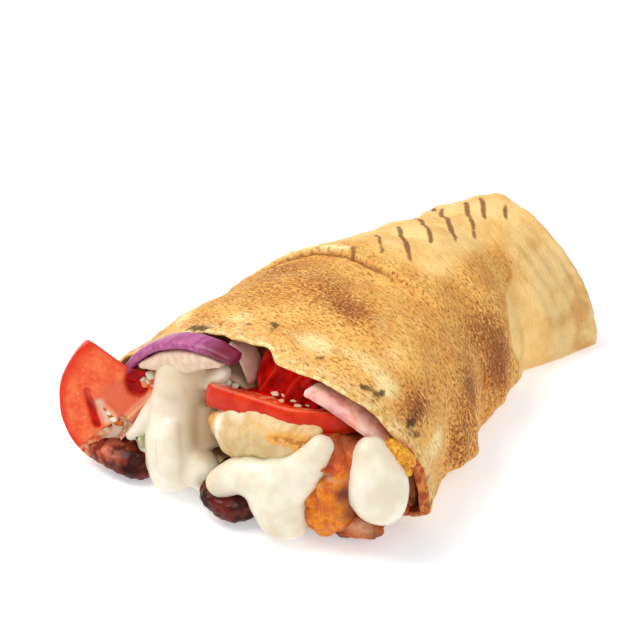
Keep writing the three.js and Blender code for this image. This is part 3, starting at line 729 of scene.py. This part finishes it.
middle_slice = Slice(
    (14.5, 39.5, 39), (-0.05, 0.12, 1), (1, 0, 0), 1.25 * TOMATO_RADIUS,
    [(180, 23), (90, 6), (0, 28), (-30, 32.6), (-60, 33.4), (-90, 32)], 420, 80,
)
rim = middle_slice.rim
at = middle_slice.points()
ring_wall = smooth((5.5 + 1.2 * noise(at, 6, 3) - rim) / 1.6)
rise = -1.5 * (1 - ring_wall) + 0.35 * rough(at, 4, 3, 33) * smooth(rim / 3)
line = hump(rim, 0.4, 0.4)
bruised = smooth(noise(at, 1.4, 39) / 0.5)
corner = bell(np.hypot(middle_slice.x + 19, middle_slice.y + 26.5) / 2.6)
piece = lofted(
    "tomato_middle", kept_inside(middle_slice.points(rise)),
    tomato_marks(
        middle_slice,
        rim=0.6 * middle_slice.face,
        deep=0.5 * ramp(rim, 0.8, 1.5) * middle_slice.face,
        gel=(1 - ring_wall) * smooth(rim / 2),
        pale=(0.3 * line + 0.3 * bruised * ramp(rim, 1.2, 1) * ring_wall) * middle_slice.face,
        cream=0.9 * corner,
    ),
)
finished(piece, flesh, "tomato", "tomato_slice_middle")

inner_piece = Slice(
    (16.5, 19, 46.5), (-0.1, -0.9, 0.4), (1, 0, -0.25), 0.42 * TOMATO_RADIUS, [(90, 7)], 160, 50
)
at = inner_piece.points()
WALLS = [  # the line of each wall between the seeds, and its width
    ([(-8, -9), (-6, 0), (-8, 8)], 1.2), ([(2.5, -11), (2, 0), (5, 8)], 1.4),
    ([(8, -11), (7, -3), (9, 4)], 1.0),
]
walls = sum(bell(near_line(inner_piece.x, inner_piece.y, line) / wide) for line, wide in WALLS)
rise = 0.9 * rough(at, 7, 2, 36) + 1.6 * walls - 1
piece = lofted(
    "tomato_inner", kept_inside(inner_piece.points(rise)),
    tomato_marks(
        inner_piece, gel=inner_piece.face * (1 - 0.35 * walls), deep=0.8 * inner_piece.face, rim=0
    ),
)
finished(piece, flesh, "tomato", "tomato_piece_inner")

# ------------------------------------------------------------------ the chicken
# Torn strips of roast chicken laid along the roll: pale breast with golden sears, orange where
# it lay in the spice, and nearly black where it was grilled.
FOOT = 0.1  # the filling stays that far above the table
FILLING_END_Y = 150
FIBRE = (1.3, 7, 1.3)  # the size of the meat's fibres
CRACK_DEPTH, CRACK_WIDTH = 0.55, 0.11  # in parts of the lumps' height and of the noise
LEDGE_OUT = 1.3  # how far the meat below the spiced strip's ledge stands out


def facing(points):
    """The outward normals of a closed grid of rings."""
    along = np.gradient(points, axis=0)
    around = np.roll(points, -1, 1) - np.roll(points, 1, 1)
    return unit(np.cross(along, around) + 1e-12)


def strip(length, cap, steps, round_steps, power, at, across, rise, wide, high, sharp=2.6):
    """A body round a path from t 0 to 1, its section a superellipse of half sizes wide and high
    along across and rise. Each end is rounded over the length cap: the section there is
    sin(φ)^(2/sharp) of full size at 1 − cos(φ)^(2/sharp) of cap. Gives t, angle and points."""
    front, body, back = steps
    phi = [np.linspace(0.03, np.pi / 2, front), np.linspace(np.pi / 2, 0.1, back)]
    small = [np.sin(angle) ** (2 / sharp) for angle in phi]
    near = [cap / length * (1 - np.cos(angle) ** (2 / sharp)) for angle in phi]
    near[1] = 1 - near[1]
    between = mix(near[0][-1], near[1][0], np.linspace(0, 1, body + 2)[1:-1] ** 1.5)
    t = np.concatenate([near[0], between, near[1]])[:, None]
    scale = np.concatenate([small[0], np.ones(body), small[1]])[:, None]
    a = np.linspace(0, 2 * np.pi, round_steps, endpoint=False)[None, :]
    c, s = np.cos(a), np.sin(a)
    x = wide(t, a) * scale * np.sign(c) * np.abs(c) ** (2 / power)
    y = high(t, a) * scale * np.sign(s) * np.abs(s) ** (2 / power)
    flat = t[:, 0]
    points = at(flat)[:, None] + across(flat)[:, None] * x[..., None]
    points = points + rise(flat)[:, None] * y[..., None]
    points[..., 2] = np.maximum(points[..., 2], FOOT)
    return t + 0 * a, a + 0 * t, points


def torn(points, size, height, seed):
    """The grid with a torn surface: lumps of the given size and height, cracks where a second
    noise crosses 0, and fine fibres along the meat."""
    lumps = height * rough(points, size, 4, seed)
    cracks = -CRACK_DEPTH * height * bell(noise(points, size * 0.9, seed + 9) / CRACK_WIDTH)
    fibres = 0.22 * noise(points, FIBRE, seed + 5) + 0.12 * noise(points, 0.9, seed + 6)
    shown = 1 - 0.7 * ramp(points[..., 1], 30, 20)
    out = points + facing(points) * (shown * (lumps + cracks + fibres))[..., None]
    out[..., 2] = np.maximum(out[..., 2], FOOT)
    return kept_inside(out)


def chicken(
    start, end, half, half_end, tilt, lump, phase, tear, steps=(46, 70, 10), round_steps=150,
    cap=12, power=2.3,
):
    """A strip of chicken from start to end, rolled over by tilt degrees and torn. Its section
    swells and shrinks by lump: three sines of t and angle."""
    start, end = np.array(start, float), np.array(end, float)
    length = np.linalg.norm(end - start)
    lean = np.radians(tilt)

    def ragged(t, a):
        waves = 0.5 * np.sin(3 * a + 9 * t + phase) + 0.35 * np.sin(5 * a - 14 * t + 2 * phase)
        return 1 + lump * (waves + 0.4 * np.sin(23 * t + phase))

    points = strip(
        length, cap, steps, round_steps, power,
        at=lambda t: start + (end - start) * t[:, None],
        across=lambda t: np.array([np.cos(lean), 0, np.sin(lean)]) + 0 * t[:, None],
        rise=lambda t: np.array([-np.sin(lean), 0, np.cos(lean)]) + 0 * t[:, None],
        wide=lambda t, a: mix(half[0], half_end[0], smooth(3 * t)) * ragged(t, a),
        high=lambda t, a: mix(half[1], half_end[1], smooth(3 * t)) * ragged(t, a),
    )[2]
    return torn(points, *tear)


def front_spots(points, places):
    """Soft spots (x, z, half wide, half high, strength) on the end that looks out of the mouth."""
    x, y, z = np.moveaxis(points, -1, 0)
    return spots(x, z, places) * ramp(y, 30, -10)


def served(name, points, marks, finish, slot, node):
    """The rings as a piece for their node. A mark given as a list is made of front spots."""
    for mark, value in marks.items():
        marks[mark] = front_spots(points, value) if isinstance(value, list) else value
    finished(lofted(name, points, marks), finish, slot, node)


meat = Finish("pale chicken", 0.45, 0.3, 0.15, 0.003)
cloud, fine = meat.grain(6, 3), meat.grain(1.2, 4, stretch=(1, 0.4, 1))
golden = meat.sum(meat.mark("sear"), meat.between(fine, 0.25, 0.6, (0.6, 1.2)))
meat.paint(
    meat.mottled(cloud, 0.35, 0.65, (219, 192, 141), (206, 170, 113)),
    ((fine, 0.52, 0.72, 0.45), (196, 150, 88)),
    ((golden, 0.15, 0.8), (226, 162, 78)),
    ((golden, 0.85, 1.15, 0.7), (168, 92, 30)),
    ("cream", (250, 244, 224)),
)
meat.set(Normal=meat.bump(fine, 0.4))
points = chicken(
    (13.5, 2, 30.5), (2, FILLING_END_Y - 3, 26), (21, 9.3), (16, 8.5), 14, 0.08, 0.6, (9, 0.9, 41)
)
marks = {
    "sear": [(27, 36, 5, 2.4, 0.9), (22, 35.5, 3, 1.4, 0.6), (-5.5, 29, 1.6, 6, 0.9),
             (15, 37.5, 6, 1.0, 0.5), (32, 34, 3, 3, 0.8)],
    "cream": [(-0.5, 31, 1.6, 4.5, 0.9), (5, 37, 4, 1.5, 0.6)],
}
served("chicken_pale", points, marks, meat, "chicken_pale", "chicken_strip_pale")

spiced = Finish("spiced chicken", 0.38, 0.28, 0.1)
cloud, fine = spiced.grain(5, 3), spiced.grain(1.0, 4, roughness=0.6)
spiced.paint(
    spiced.mottled(cloud, 0.35, 0.65, (216, 118, 28), (186, 82, 22)),
    ("orange", spiced.mottled(cloud, 0.4, 0.6, (234, 136, 0), (208, 98, 0))),
    ("red", spiced.mottled(cloud, 0.42, 0.6, (222, 98, 44), (190, 72, 18))),
    ((fine, 0.54, 0.68, 0.6), (172, 78, 24)),
    ((fine, 0.4, 0.3, 0.45), (246, 184, 116)),
    # brown is painted shade round the edges of the pieces' fronts, and cream is painted highlights
    ("brown", (118, 48, 16)),
    ("cream", (232, 184, 140)),
)
spiced.set(Normal=spiced.bump(fine, 0.5))
points = chicken(
    (39.5, 4, 20), (26, FILLING_END_Y - 5, 18), (9, 18), (7, 12), -13, 0.08, 2.1, (7, 1.1, 52),
    power=3,
)
x, y, z = np.moveaxis(points, -1, 0)
below_ledge = smooth((23 + 0.55 * (x - 32) - z) / 0.9) * ramp(x, 46.5, -1.2)
below_ledge = below_ledge * ramp(y, 14, -5)
points[..., 1] -= LEDGE_OUT * below_ledge
marks = {
    "orange": below_ledge,
    "red": front_spots(points, [(41, 31, 7, 9, 0.9)]) * (1 - below_ledge),
    # brown paints shade along the front's edges, under the tomato above and at the table; cream
    # paints two thin highlights
    "brown": [(47.5, 14, 1.8, 9, 0.9), (46, 23, 2, 2.5, 0.9), (44, 2, 7, 2.4, 0.7),
              (41, 37, 8, 2.5, 0.8), (50, 28, 2, 8, 0.5)],
    "cream": [(35, 24.4, 4, 0.8, 0.7), (41, 27.6, 4, 0.8, 0.6)],
}
served("chicken_spiced", points, marks, spiced, "chicken_spiced", "chicken_strip_spiced")

points = chicken(
    (44.5, 12, 6), (47, 34, 8), (13, 5.6), (7, 4), 14, 0.14, 1.4, (6, 0.9, 57), (40, 20, 10), 120, 7
)
marks = {
    "orange": 0,
    "red": 0.3,
    # brown paints shade round the bit's front, at its ends, at the table and under the dollop;
    # cream paints its highlights
    "brown": [(37, 4, 4, 5, 1.0), (54, 5, 4, 5, 0.9), (46, 1, 9, 1.6, 0.8), (46, 12, 9, 2, 0.6)],
    "cream": [(43, 7.5, 6, 2.4, 0.8), (50, 9, 3, 2, 0.5)],
}
served("chicken_bit", points, marks, spiced, "chicken_spiced", "chicken_bit_right")

grilled = Finish("grilled dark chicken", 0.3, 0.18)
cloud, fine = grilled.grain(5, 2), grilled.grain(1.4, 3)
grilled.paint(
    grilled.mottled(cloud, 0.4, 0.62, (46, 11, 4), (96, 24, 8)),
    ("red", grilled.mottled(cloud, 0.4, 0.6, (116, 36, 22), (206, 112, 80))),
    ((fine, 0.64, 0.8, 0.25), (150, 74, 40)),
    ("glow", (190, 84, 24)),
)
grilled.set(Normal=grilled.bump(fine, 0.12))
points = chicken(
    (-41, -2.5, 5.4), (-25, FILLING_END_Y - 4, 14), (15, 5.0), (11, 8), -4, 0.12, 3.7, (13, 0.6, 61)
)
marks = {"red": [(-50, 6.5, 7, 4.5, 1.0), (-42, 8.5, 6, 2, 0.6)], "glow": 0}
served("chicken_dark_left", points, marks, grilled, "chicken_dark", "chicken_strip_dark_left")
points = chicken(
    (4.5, -4, 6.2), (0, FILLING_END_Y - 2, 9.5), (11, 5.8), (12, 5.2), -8, 0.12, 5.2, (10, 0.6, 66)
)
marks = {"red": 0, "glow": [(1, 1.5, 5, 2, 0.5)]}
served("chicken_dark_middle", points, marks, grilled, "chicken_dark", "chicken_strip_dark_middle")

crisp = Finish("golden chicken crumb", 0.5, soft=0.15)
fine = crisp.grain(1.3, 3)
crisp.paint(crisp.mottled(fine, 0.4, 0.6, (246, 184, 46), (222, 138, 26)))
crisp.set(Normal=crisp.bump(fine, 0.8))
points = chicken(
    (57, 18.5, 33.5), (51, 31, 29), (3.2, 8), (3, 5), 52, 0.16, 0.2, (3.2, 0.9, 71), (30, 16, 8),
    100, 5,
)
served("chicken_golden", points, {}, crisp, "chicken_golden", "chicken_crumb_golden")

# ------------------------------------------------------------------ the pickle
# A thin slice of pickled cucumber, pale inside and olive at its skin, caught on its edge between
# the left tomato and the sauce.
pickled = Finish("pickle", 0.25, soft=0.3, depth=0.003)
pickled.paint(
    pickled.mottled(pickled.grain(3, 3), 0.4, 0.6, (226, 222, 196), (182, 176, 130)),
    ("skin", (66, 60, 34)),
)
points = chicken(
    (-33.5, 4.5, 13.5), (-30, 22, 15), (2.2, 6.5), (2.4, 6), 24, 0.06, 4.4, (5, 0.3, 74),
    (24, 20, 8), 90, 4,
)
a = np.linspace(0, 2 * np.pi, points.shape[1], endpoint=False)
marks = {"skin": ramp(np.sin(a), 0.4, 0.4)}
served("pickle", points, marks, pickled, "pickle", "pickle_slice")

# ------------------------------------------------------------------ the red onion
# Layers of a red onion sliced 9 mm thick: a half ring over the sauce with its purple skin side
# and white flesh, a strip along the right lip, and thin see-through scraps.
ONION_LAYER = 3.2
ONION_SLICE = 9
GAP = 0.35  # between a piece of onion and its neighbour
RING_MIDDLE = (-9.5, 12.5, 15)
RING_RADIUS = 39.5
FLESH_MIDDLE = (-9.5, 12, 15)
FLESH_START, FLESH_END = 139, 78
FLESH_TIPS, FLESH_BELLY = 1.4, 6.8  # how thick the flesh is at its ends, and how much more half way


def radial(degrees):
    """The direction at that angle round the wrap's axis."""
    a = np.radians(degrees)
    return np.stack([np.cos(a), 0 * a, np.sin(a)], -1)


def onion(middle, start, end, thick, deep, uneven, belly=0, power=4):
    """A curved piece of a layer: middle(degrees) is its mid line from start to end, thick its
    thickness with belly more half way, deep its half size along y, and uneven the height, size
    and seed of its bumps. Gives t, angle and points."""

    def line(t):
        return middle(mix(start, end, t))

    t, a, points = strip(
        np.linalg.norm(np.diff(line(np.linspace(0, 1, 40)), axis=0), axis=-1).sum(),
        ONION_LAYER / 2, (20, 110, 20), 64, power,
        at=line,
        across=lambda t: radial(mix(start, end, t)),
        rise=lambda t: np.array([0, 1.0, 0]) + 0 * t[:, None],
        wide=lambda t, a: (thick + belly * np.sin(np.pi * t)) / 2 + 0 * a,
        high=lambda t, a: deep * (0.75 + 0.25 * np.sin(np.pi * t)) + 0 * a,
    )
    height, size, seed = uneven
    return t, a, points + facing(points) * (height * rough(points, size, 3, seed))[..., None]


def circle(middle, radius):
    """A mid line that is a circle about its middle."""
    return lambda degrees: np.array(middle) + radial(degrees) * radius


def lip_line(degrees):
    """A mid line just inside the lip of the bread."""
    inset = BREAD + GAP + ONION_LAYER / 2 + 0.5
    return bread_point(through(LIP, degrees), degrees, inset)


def flesh_line(degrees):
    """The mid line of the white flesh, whose outside lies on the purple layer."""
    t = (FLESH_START - degrees) / (FLESH_START - FLESH_END)
    thick = FLESH_TIPS + FLESH_BELLY * np.sin(np.pi * t)
    outside = circle(FLESH_MIDDLE, RING_RADIUS - ONION_LAYER - GAP)(degrees)
    return outside - radial(degrees) * (thick / 2)[..., None]


skin = Finish("red onion", 0.36, 0.3, 0.15)
veins = skin.grain(1.6, 3, stretch=(1, 0.25, 1))
skin.paint(
    skin.mottled(veins, 0.35, 0.65, (184, 98, 146), (160, 70, 124)),
    ("dark", (108, 5, 30)),
    ("pink", skin.mottled(skin.grain(4, 2), 0.4, 0.6, (255, 208, 182), (240, 162, 136))),
    # white: the white cut end of the lip strip, and painted glints speckled along the layers' edges
    ("white", (238, 214, 208)),
)
skin.set(Normal=skin.bump(veins, 0.15))
t, a, points = onion(
    circle(RING_MIDDLE, RING_RADIUS - ONION_LAYER / 2), 150, 73, ONION_LAYER, ONION_SLICE / 2,
    (0.18, 5, 81), power=3,
)
# painted glints: white speckles along an edge of the purple ring
speckle = smooth((noise(points, 0.7, 84) + 0.25) / 0.5)
marks = {
    "dark": 0.9 * ramp(t, 0.7, 0.2) + 0.5 * ramp(t, 0.2, -0.16),
    "white": bell((np.degrees(a) - 62) / 13) * (0.3 + 0.7 * speckle) * ramp(t, 0.9, -0.2),
    "pink": 0,
}
served("onion_purple", points, marks, skin, "onion_purple", "onion_ring_purple")

t, a, points = onion(lip_line, 66, 8, ONION_LAYER, 4.8, (0.3, 5, 86))
# the strip's white cut end, and painted glints speckled along its edges
edges = bell((np.abs(np.cos(a)) - 0.8) / 0.16)
marks = {
    "dark": 0.12 * smooth((noise(points, (5, 5, 5), 87) + 0.1) / 0.6) * smooth(t / 0.2),
    "white": ramp(t, 0.07, -0.05) * 0.7 + 0.35 * edges * smooth(noise(points, 2, 88) / 0.4),
    "pink": 0.85 + 0.3 * noise(points, 6, 89),
}
served("onion_lip", points, marks, skin, "onion_purple", "onion_strip_right")

white_flesh = Finish("onion flesh", 0.32, 0.3, 0.3, 0.003)
veins = white_flesh.grain(2.0, 3, stretch=(1, 0.3, 1))
white_flesh.paint(
    white_flesh.mottled(veins, 0.3, 0.7, (230, 204, 180), (216, 184, 152)),
    ("brown", (150, 104, 58)),
    ("mauve", (198, 150, 148)),
)
t, a, points = onion(
    flesh_line, FLESH_START, FLESH_END, FLESH_TIPS, ONION_SLICE / 2 - 0.5, (0.2, 5, 91), FLESH_BELLY
)
marks = {"brown": 0, "mauve": 0.35 * ramp(t, 0.8, 0.15)}
served("onion_white", points, marks, white_flesh, "onion_pale", "onion_ring_white")
t, a, points = onion(circle((-7, 19, 29), 13.5), 142, 40, 2, 4, (0.25, 4, 93))
marks = {"brown": 0.6 + 0.3 * noise(points, 4, 94), "mauve": 0}
served("onion_sliver", points, marks, white_flesh, "onion_pale", "onion_sliver_brown")
t, a, points = onion(circle((-9, 20, 42), 11.5), 72, -6, 1.4, 4.5, (0.2, 5, 95))
marks = {"brown": 0.15, "mauve": 0.5}
served("onion_sheet", points, marks, white_flesh, "onion_pale", "onion_sheet_pale")

# ------------------------------------------------------------------ the garlic sauce
# Thick white garlic sauce poured over the filling: a heavy fold at the left and one under the
# pale chicken, a dollop at the right lip, and the sauce that packs the roll behind them.
SAUCE_GRAIN = 0.6  # of the voxels that melt the pours into one body
POUR_END = 0.07  # the share of a pour's length over which each end is rounded


def pour(path):
    """Sauce that ran along a path of (x, y, z, half wide, half deep along y)."""
    t = np.linspace(0, 1, 70)
    *middle, wide, deep = follow(path, t)
    middle = np.stack(middle, -1)
    along = unit(np.gradient(middle, axis=0))
    rise = unit(np.array([0, 1.0, 0]) - along * along[:, 1:2])
    across = np.cross(along, rise)
    end = np.minimum(np.minimum(t, 1 - t) / POUR_END, 1)
    end = np.maximum(np.sqrt(end * (2 - end)), 0.05)
    a = np.linspace(0, 2 * np.pi, 64, endpoint=False)[None, :]
    x = (wide * end)[:, None] * np.cos(a)
    y = (deep * end)[:, None] * np.sin(a)
    points = middle[:, None] + across[:, None] * x[..., None] + rise[:, None] * y[..., None]
    points[..., 2] = np.maximum(points[..., 2], FOOT)
    return points


def melted(name, node, turns, *paths):
    """The pours along the paths as one body: voxels of SAUCE_GRAIN, smoothed that many turns."""
    piece = gathered(name, [pour(path) for path in paths])
    remesh = piece.modifiers.new("melt", "REMESH")
    remesh.mode = "VOXEL"
    remesh.voxel_size = SAUCE_GRAIN * MM
    remesh.use_smooth_shade = True
    soften = piece.modifiers.new("soften", "SMOOTH")
    soften.factor = 0.8
    soften.iterations = turns
    finished(piece, creamy, "garlic_sauce", node)


creamy = Finish("garlic sauce", 0.24, 0.4, 0.3, 0.003)
SHADED = [  # painted shade: spots where the sauce lies in shadow, darkened to beige; the place, its reach and how strongly
    ((-18, 12, 38), 20, 0.7), ((-12, 14, 26), 12, 0.7), ((2, 0, 13), 11, 0.5),
    ((-10, 10, 20), 10, 0.85), ((52, 10, 12), 8, 0.3), ((46, 10, 38), 9, 0.35),
    ((24, -3, 2), 9, 0.4),
]
creamy.paint(
    creamy.mottled(creamy.grain(7, 2), 0.3, 0.7, (240, 232, 212), (226, 214, 188)),
    # the painted shade laid on the sauce at each of those places
    *[(creamy.near(*spot), (196, 160, 118)) for spot in SHADED],
)

dollop = [(48.5, 18.5, 38, 2.5, 3), (49, 17, 33.5, 6, 7), (51, 15.5, 25.5, 10.5, 9.2),
          (52.3, 14.5, 18, 9.8, 8), (51.5, 14, 12.5, 5.5, 5)]
melted("sauce_right", "garlic_sauce_right", 12, dollop)

band = [(0, 1.5, 9.5, 4.3, 4), (3, 2, 13, 5.2, 5), (9, 4, 17, 6.2, 7), (16.5, 5, 17.5, 8.5, 8),
        (22.5, 4.5, 13, 10.5, 8), (25.5, 3.5, 6.5, 8.5, 7), (26.5, 3, 1.5, 6.5, 5)]
arm = [(17, 6, 17, 7, 6.5), (25, 6, 20.5, 9, 7), (31.5, 6, 26, 7, 6), (36, 6.5, 33, 4.8, 5.5),
       (38.5, 8.5, 38.5, 3.4, 4.5)]
melted("sauce_middle", "garlic_sauce_middle", 16, band, arm)

fold = [(-20, 24, 44, 8, 9), (-21.5, 19, 39, 10.5, 12), (-22.5, 14.5, 29, 9, 11.5),
        (-21.5, 8.5, 17, 9.5, 9.5), (-19, 5.5, 8, 9.5, 8), (-16.5, 5, 2, 8, 6)]
drip = [(-14, 10, 15, 4, 5), (-11, 8, 11.5, 5.8, 6), (-8.5, 8, 8, 6, 5.5),
        (-9.5, 11, 4.5, 4.5, 4.5)]
nook = [(-14, 17, 30, 4, 5), (-13, 15.5, 22, 5, 5.5), (-11, 14, 15, 5, 5.5)]
ridge = [(-19, 5.5, 27, 3, 4), (-18, 1.6, 20, 4, 4), (-16.5, 0.2, 13, 4.6, 4),
         (-15.5, 1.2, 7, 3.4, 3)]
lobe = [(-12, 5, 12.5, 3, 3), (-9.5, 3.8, 9.5, 3.6, 3.2), (-8, 4.5, 7.5, 2.2, 2.2)]
edge = [(-24, 8, 20, 3, 4), (-27.5, 7, 13, 3, 4), (-28, 6.5, 6, 3, 4), (-28.5, 6.5, 1.5, 2.5, 3)]
smear = [(-18, 12, 38, 5, 6), (-22.5, 9, 33.5, 4.5, 5), (-29, 7.5, 24.5, 4, 3.6),
         (-34.5, 6, 17, 2.6, 2), (-38.5, 4.6, 13, 1.4, 1.2)]
horn = [(-12, 17, 38, 4, 5), (-6, 14, 43, 3, 3.5), (-4, 14, 46.5, 1.5, 2)]
melted("sauce_left", "garlic_sauce", 6, fold, drip, nook, ridge, lobe, edge, smear, horn)

# ------------------------------------------------------------------ the crumbs, flakes and seeds
# Crumbs of spiced chicken and flakes of sauce that fell on the tomatoes, and tomato seeds left on
# the cut face of the middle slice.
TOWARDS_VIEW = (0.51, -0.72, 0.47)  # they lie on the surfaces that the open end shows
OFF_SURFACE = 0.6  # how far their middles are moved that way
SEEDS_Z = 40.9


def pebble(place, size, seed):
    """A lump at a place: a ball drawn out to its half sizes, with noise on its surface."""
    up = np.linspace(0.15, np.pi - 0.15, 12)[:, None]
    a = np.linspace(0, 2 * np.pi, 20, endpoint=False)[None, :]
    ball = np.stack([np.sin(up) * np.cos(a), np.sin(up) * np.sin(a), np.cos(up) + 0 * a], -1)
    swell = 1 + 0.3 * noise(ball, 0.7, seed)
    middle = np.array(place) + np.array(TOWARDS_VIEW) * OFF_SURFACE
    return middle + ball * np.array(size) * swell[..., None]


crumbs = [
    (-34.6, 14, 33.9, 1.4), (-32.6, 14, 32.4, 1.3), (-35.6, 14, 29.9, 1.2), (-37.2, 14, 33.1, 1.0),
    (-31.5, 14, 29.8, 1.1), (-32.8, 14, 36, 1.3), (-48, 6, 20.5, 0.9), (-45.6, 6, 18.7, 1.2),
    (-43.6, 6, 16.7, 1.3), (-47.1, 6, 14.4, 1.0), (-50, 6, 10.7, 1.1), (-52.7, 6, 8.2, 0.9),
    (-41.9, 6, 16.6, 1.0), (38.2, 5, 30.6, 1.1), (39.3, 5, 29.6, 0.9), (36.7, 5, 27.9, 0.8),
]
flakes = [
    (-7.7, 13.8, 40, 1.9), (-7.6, 16.2, 40, 1.6), (-4.5, 15.3, 40, 2.0), (-6.8, 10.6, 40, 1.4),
    (-1.4, 15.3, 40, 1.2), (-36.2, 13, 31.6, 1.8), (-33.8, 13, 34.6, 1.9), (-33.4, 14, 31, 1.7),
    (-44.6, 6, 17.6, 1.5), (-46.6, 6, 19.4, 1.2), (-49, 6, 12.6, 1.3), (-51.2, 6, 9.6, 1.2),
]
seeds = [
    (x, y, SEEDS_Z, 1) for x, y in [(12.3, 17.4), (15.5, 18.5), (19.6, 17.4), (24.8, 18.1),
                                    (22.4, 15.4), (30.5, 18.5), (34.6, 19.9)]
]
for name, places, shape, first_seed, finish, slot in [
    ("crumbs", crumbs, (1, 1, 0.8), 0, spiced, "chicken_spiced"),
    ("sauce_flakes", flakes, (1, 1, 0.7), 40, creamy, "garlic_sauce"),
    ("tomato_seeds", seeds, (1.4, 1.0, 0.5), 60, white_flesh, "tomato"),
]:
    sizes = [size * np.array(shape) for *place, size in places]
    bodies = [pebble(place[:3], sizes[k], first_seed + k) for k, place in enumerate(places)]
    finished(gathered(name, bodies), finish, slot)

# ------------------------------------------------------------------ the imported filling
# Sauce and small scraps that fill the roll behind what shows at its mouth, pressed against the
# inside of the bread as it was rolled.
stained = Finish("sauce and scraps", 0.5)
stained.paint(stained.mottled(stained.grain(4, 4), 0.4, 0.6, (206, 132, 82), (150, 74, 40)))
even = np.linspace(0, 360, 120, endpoint=False)[None, :] - 90
reach = np.concatenate([[31, 31, 31], np.linspace(31, FILLING_END_Y, 60)])[:, None]
points = bread_point(reach + 0 * even, even + 0 * reach, BREAD + 2)
points[:2, :, 0] *= [[0.3], [0.8]]
points[:2, :, 2] = mix(HEIGHT / 3, points[:2, :, 2], np.array([[0.3], [0.8]]))
points[0, :, 1] -= 1
finished(lofted("packed_filling", points), stained, "garlic_sauce", "garlic_sauce")

# ------------------------------------------------------------------ the table, camera and light
# A wide pale table top, a broad soft light from the upper left and an even bright room. The camera
# looks into the mouth from the right and above.
CAMERA_AZIMUTH = 35.6
CAMERA_ELEVATION = 28.0
CAMERA_FAR = 694.4
LOOKS_AT = (-22.4, 89.6, 24.64)
LENS = 112.5
SOFT_LIGHTS = [  # name, azimuth, elevation, distance, size, power and tint
    ("key", -58, 60, 0.9, 0.6, 6.6, (1.0, 0.985, 0.96)),
    ("fill", 64, 38, 1.1, 0.9, 3.6, (1.0, 0.99, 0.97)),
]
TABLE_HALF = 6  # this and the next in metres
TABLE_TOP_Z = -0.0002


def away(azimuth, elevation):
    """The direction towards a viewer at that azimuth and elevation, in degrees."""
    a, e = np.radians([azimuth, elevation])
    return Vector((np.sin(a) * np.cos(e), -np.cos(a) * np.cos(e), np.sin(e)))


def placed(name, data, location, towards):
    """An object of the scene that looks back along the direction towards it."""
    item = bpy.data.objects.new(name, data)
    item.location = location
    item.rotation_euler = towards.to_track_quat("Z", "Y").to_euler()
    scene.collection.objects.link(item)
    return item


middle = Vector(((np.array(LOOKS_AT) + SHIFT) * MM).tolist())
towards = away(CAMERA_AZIMUTH, CAMERA_ELEVATION)
view = bpy.data.cameras.new("camera")
view.lens, view.sensor_width, view.clip_start = LENS, 36, 0.01
scene.camera = placed("camera", view, middle + towards * CAMERA_FAR * MM, towards)
for name, azimuth, elevation, far, size, power, tint in SOFT_LIGHTS:
    lamp = bpy.data.lights.new(name, "AREA")
    lamp.size, lamp.energy, lamp.color = size, power, tint
    placed(name, lamp, away(azimuth, elevation) * far, away(azimuth, elevation))
room = bpy.data.worlds.new("room")
room.use_nodes = True
sky = room.node_tree.nodes["Background"].inputs
sky["Color"].default_value = (0.95, 0.98, 1.0, 1)
sky["Strength"].default_value = 0.5
scene.world = room
scene.view_settings.view_transform = "Standard"
scene.view_settings.look = "None"

mesh = bpy.data.meshes.new("table_top")
corners = [(x * TABLE_HALF, y * TABLE_HALF, 0) for x, y in ((-1, -1), (1, -1), (1, 1), (-1, 1))]
mesh.from_pydata(corners, [], [(0, 1, 2, 3)])
table_top = bpy.data.objects.new("table_top", mesh)
table_top.location.z = TABLE_TOP_Z
scene.collection.objects.link(table_top)
white = Finish("white table", 0.9, 0.1)
white.set(Base_Color=(0.74, 0.75, 0.77, 1), Emission_Color=(0.97, 0.985, 1, 1),
          Emission_Strength=0.42)
mesh.materials.append(white.material)
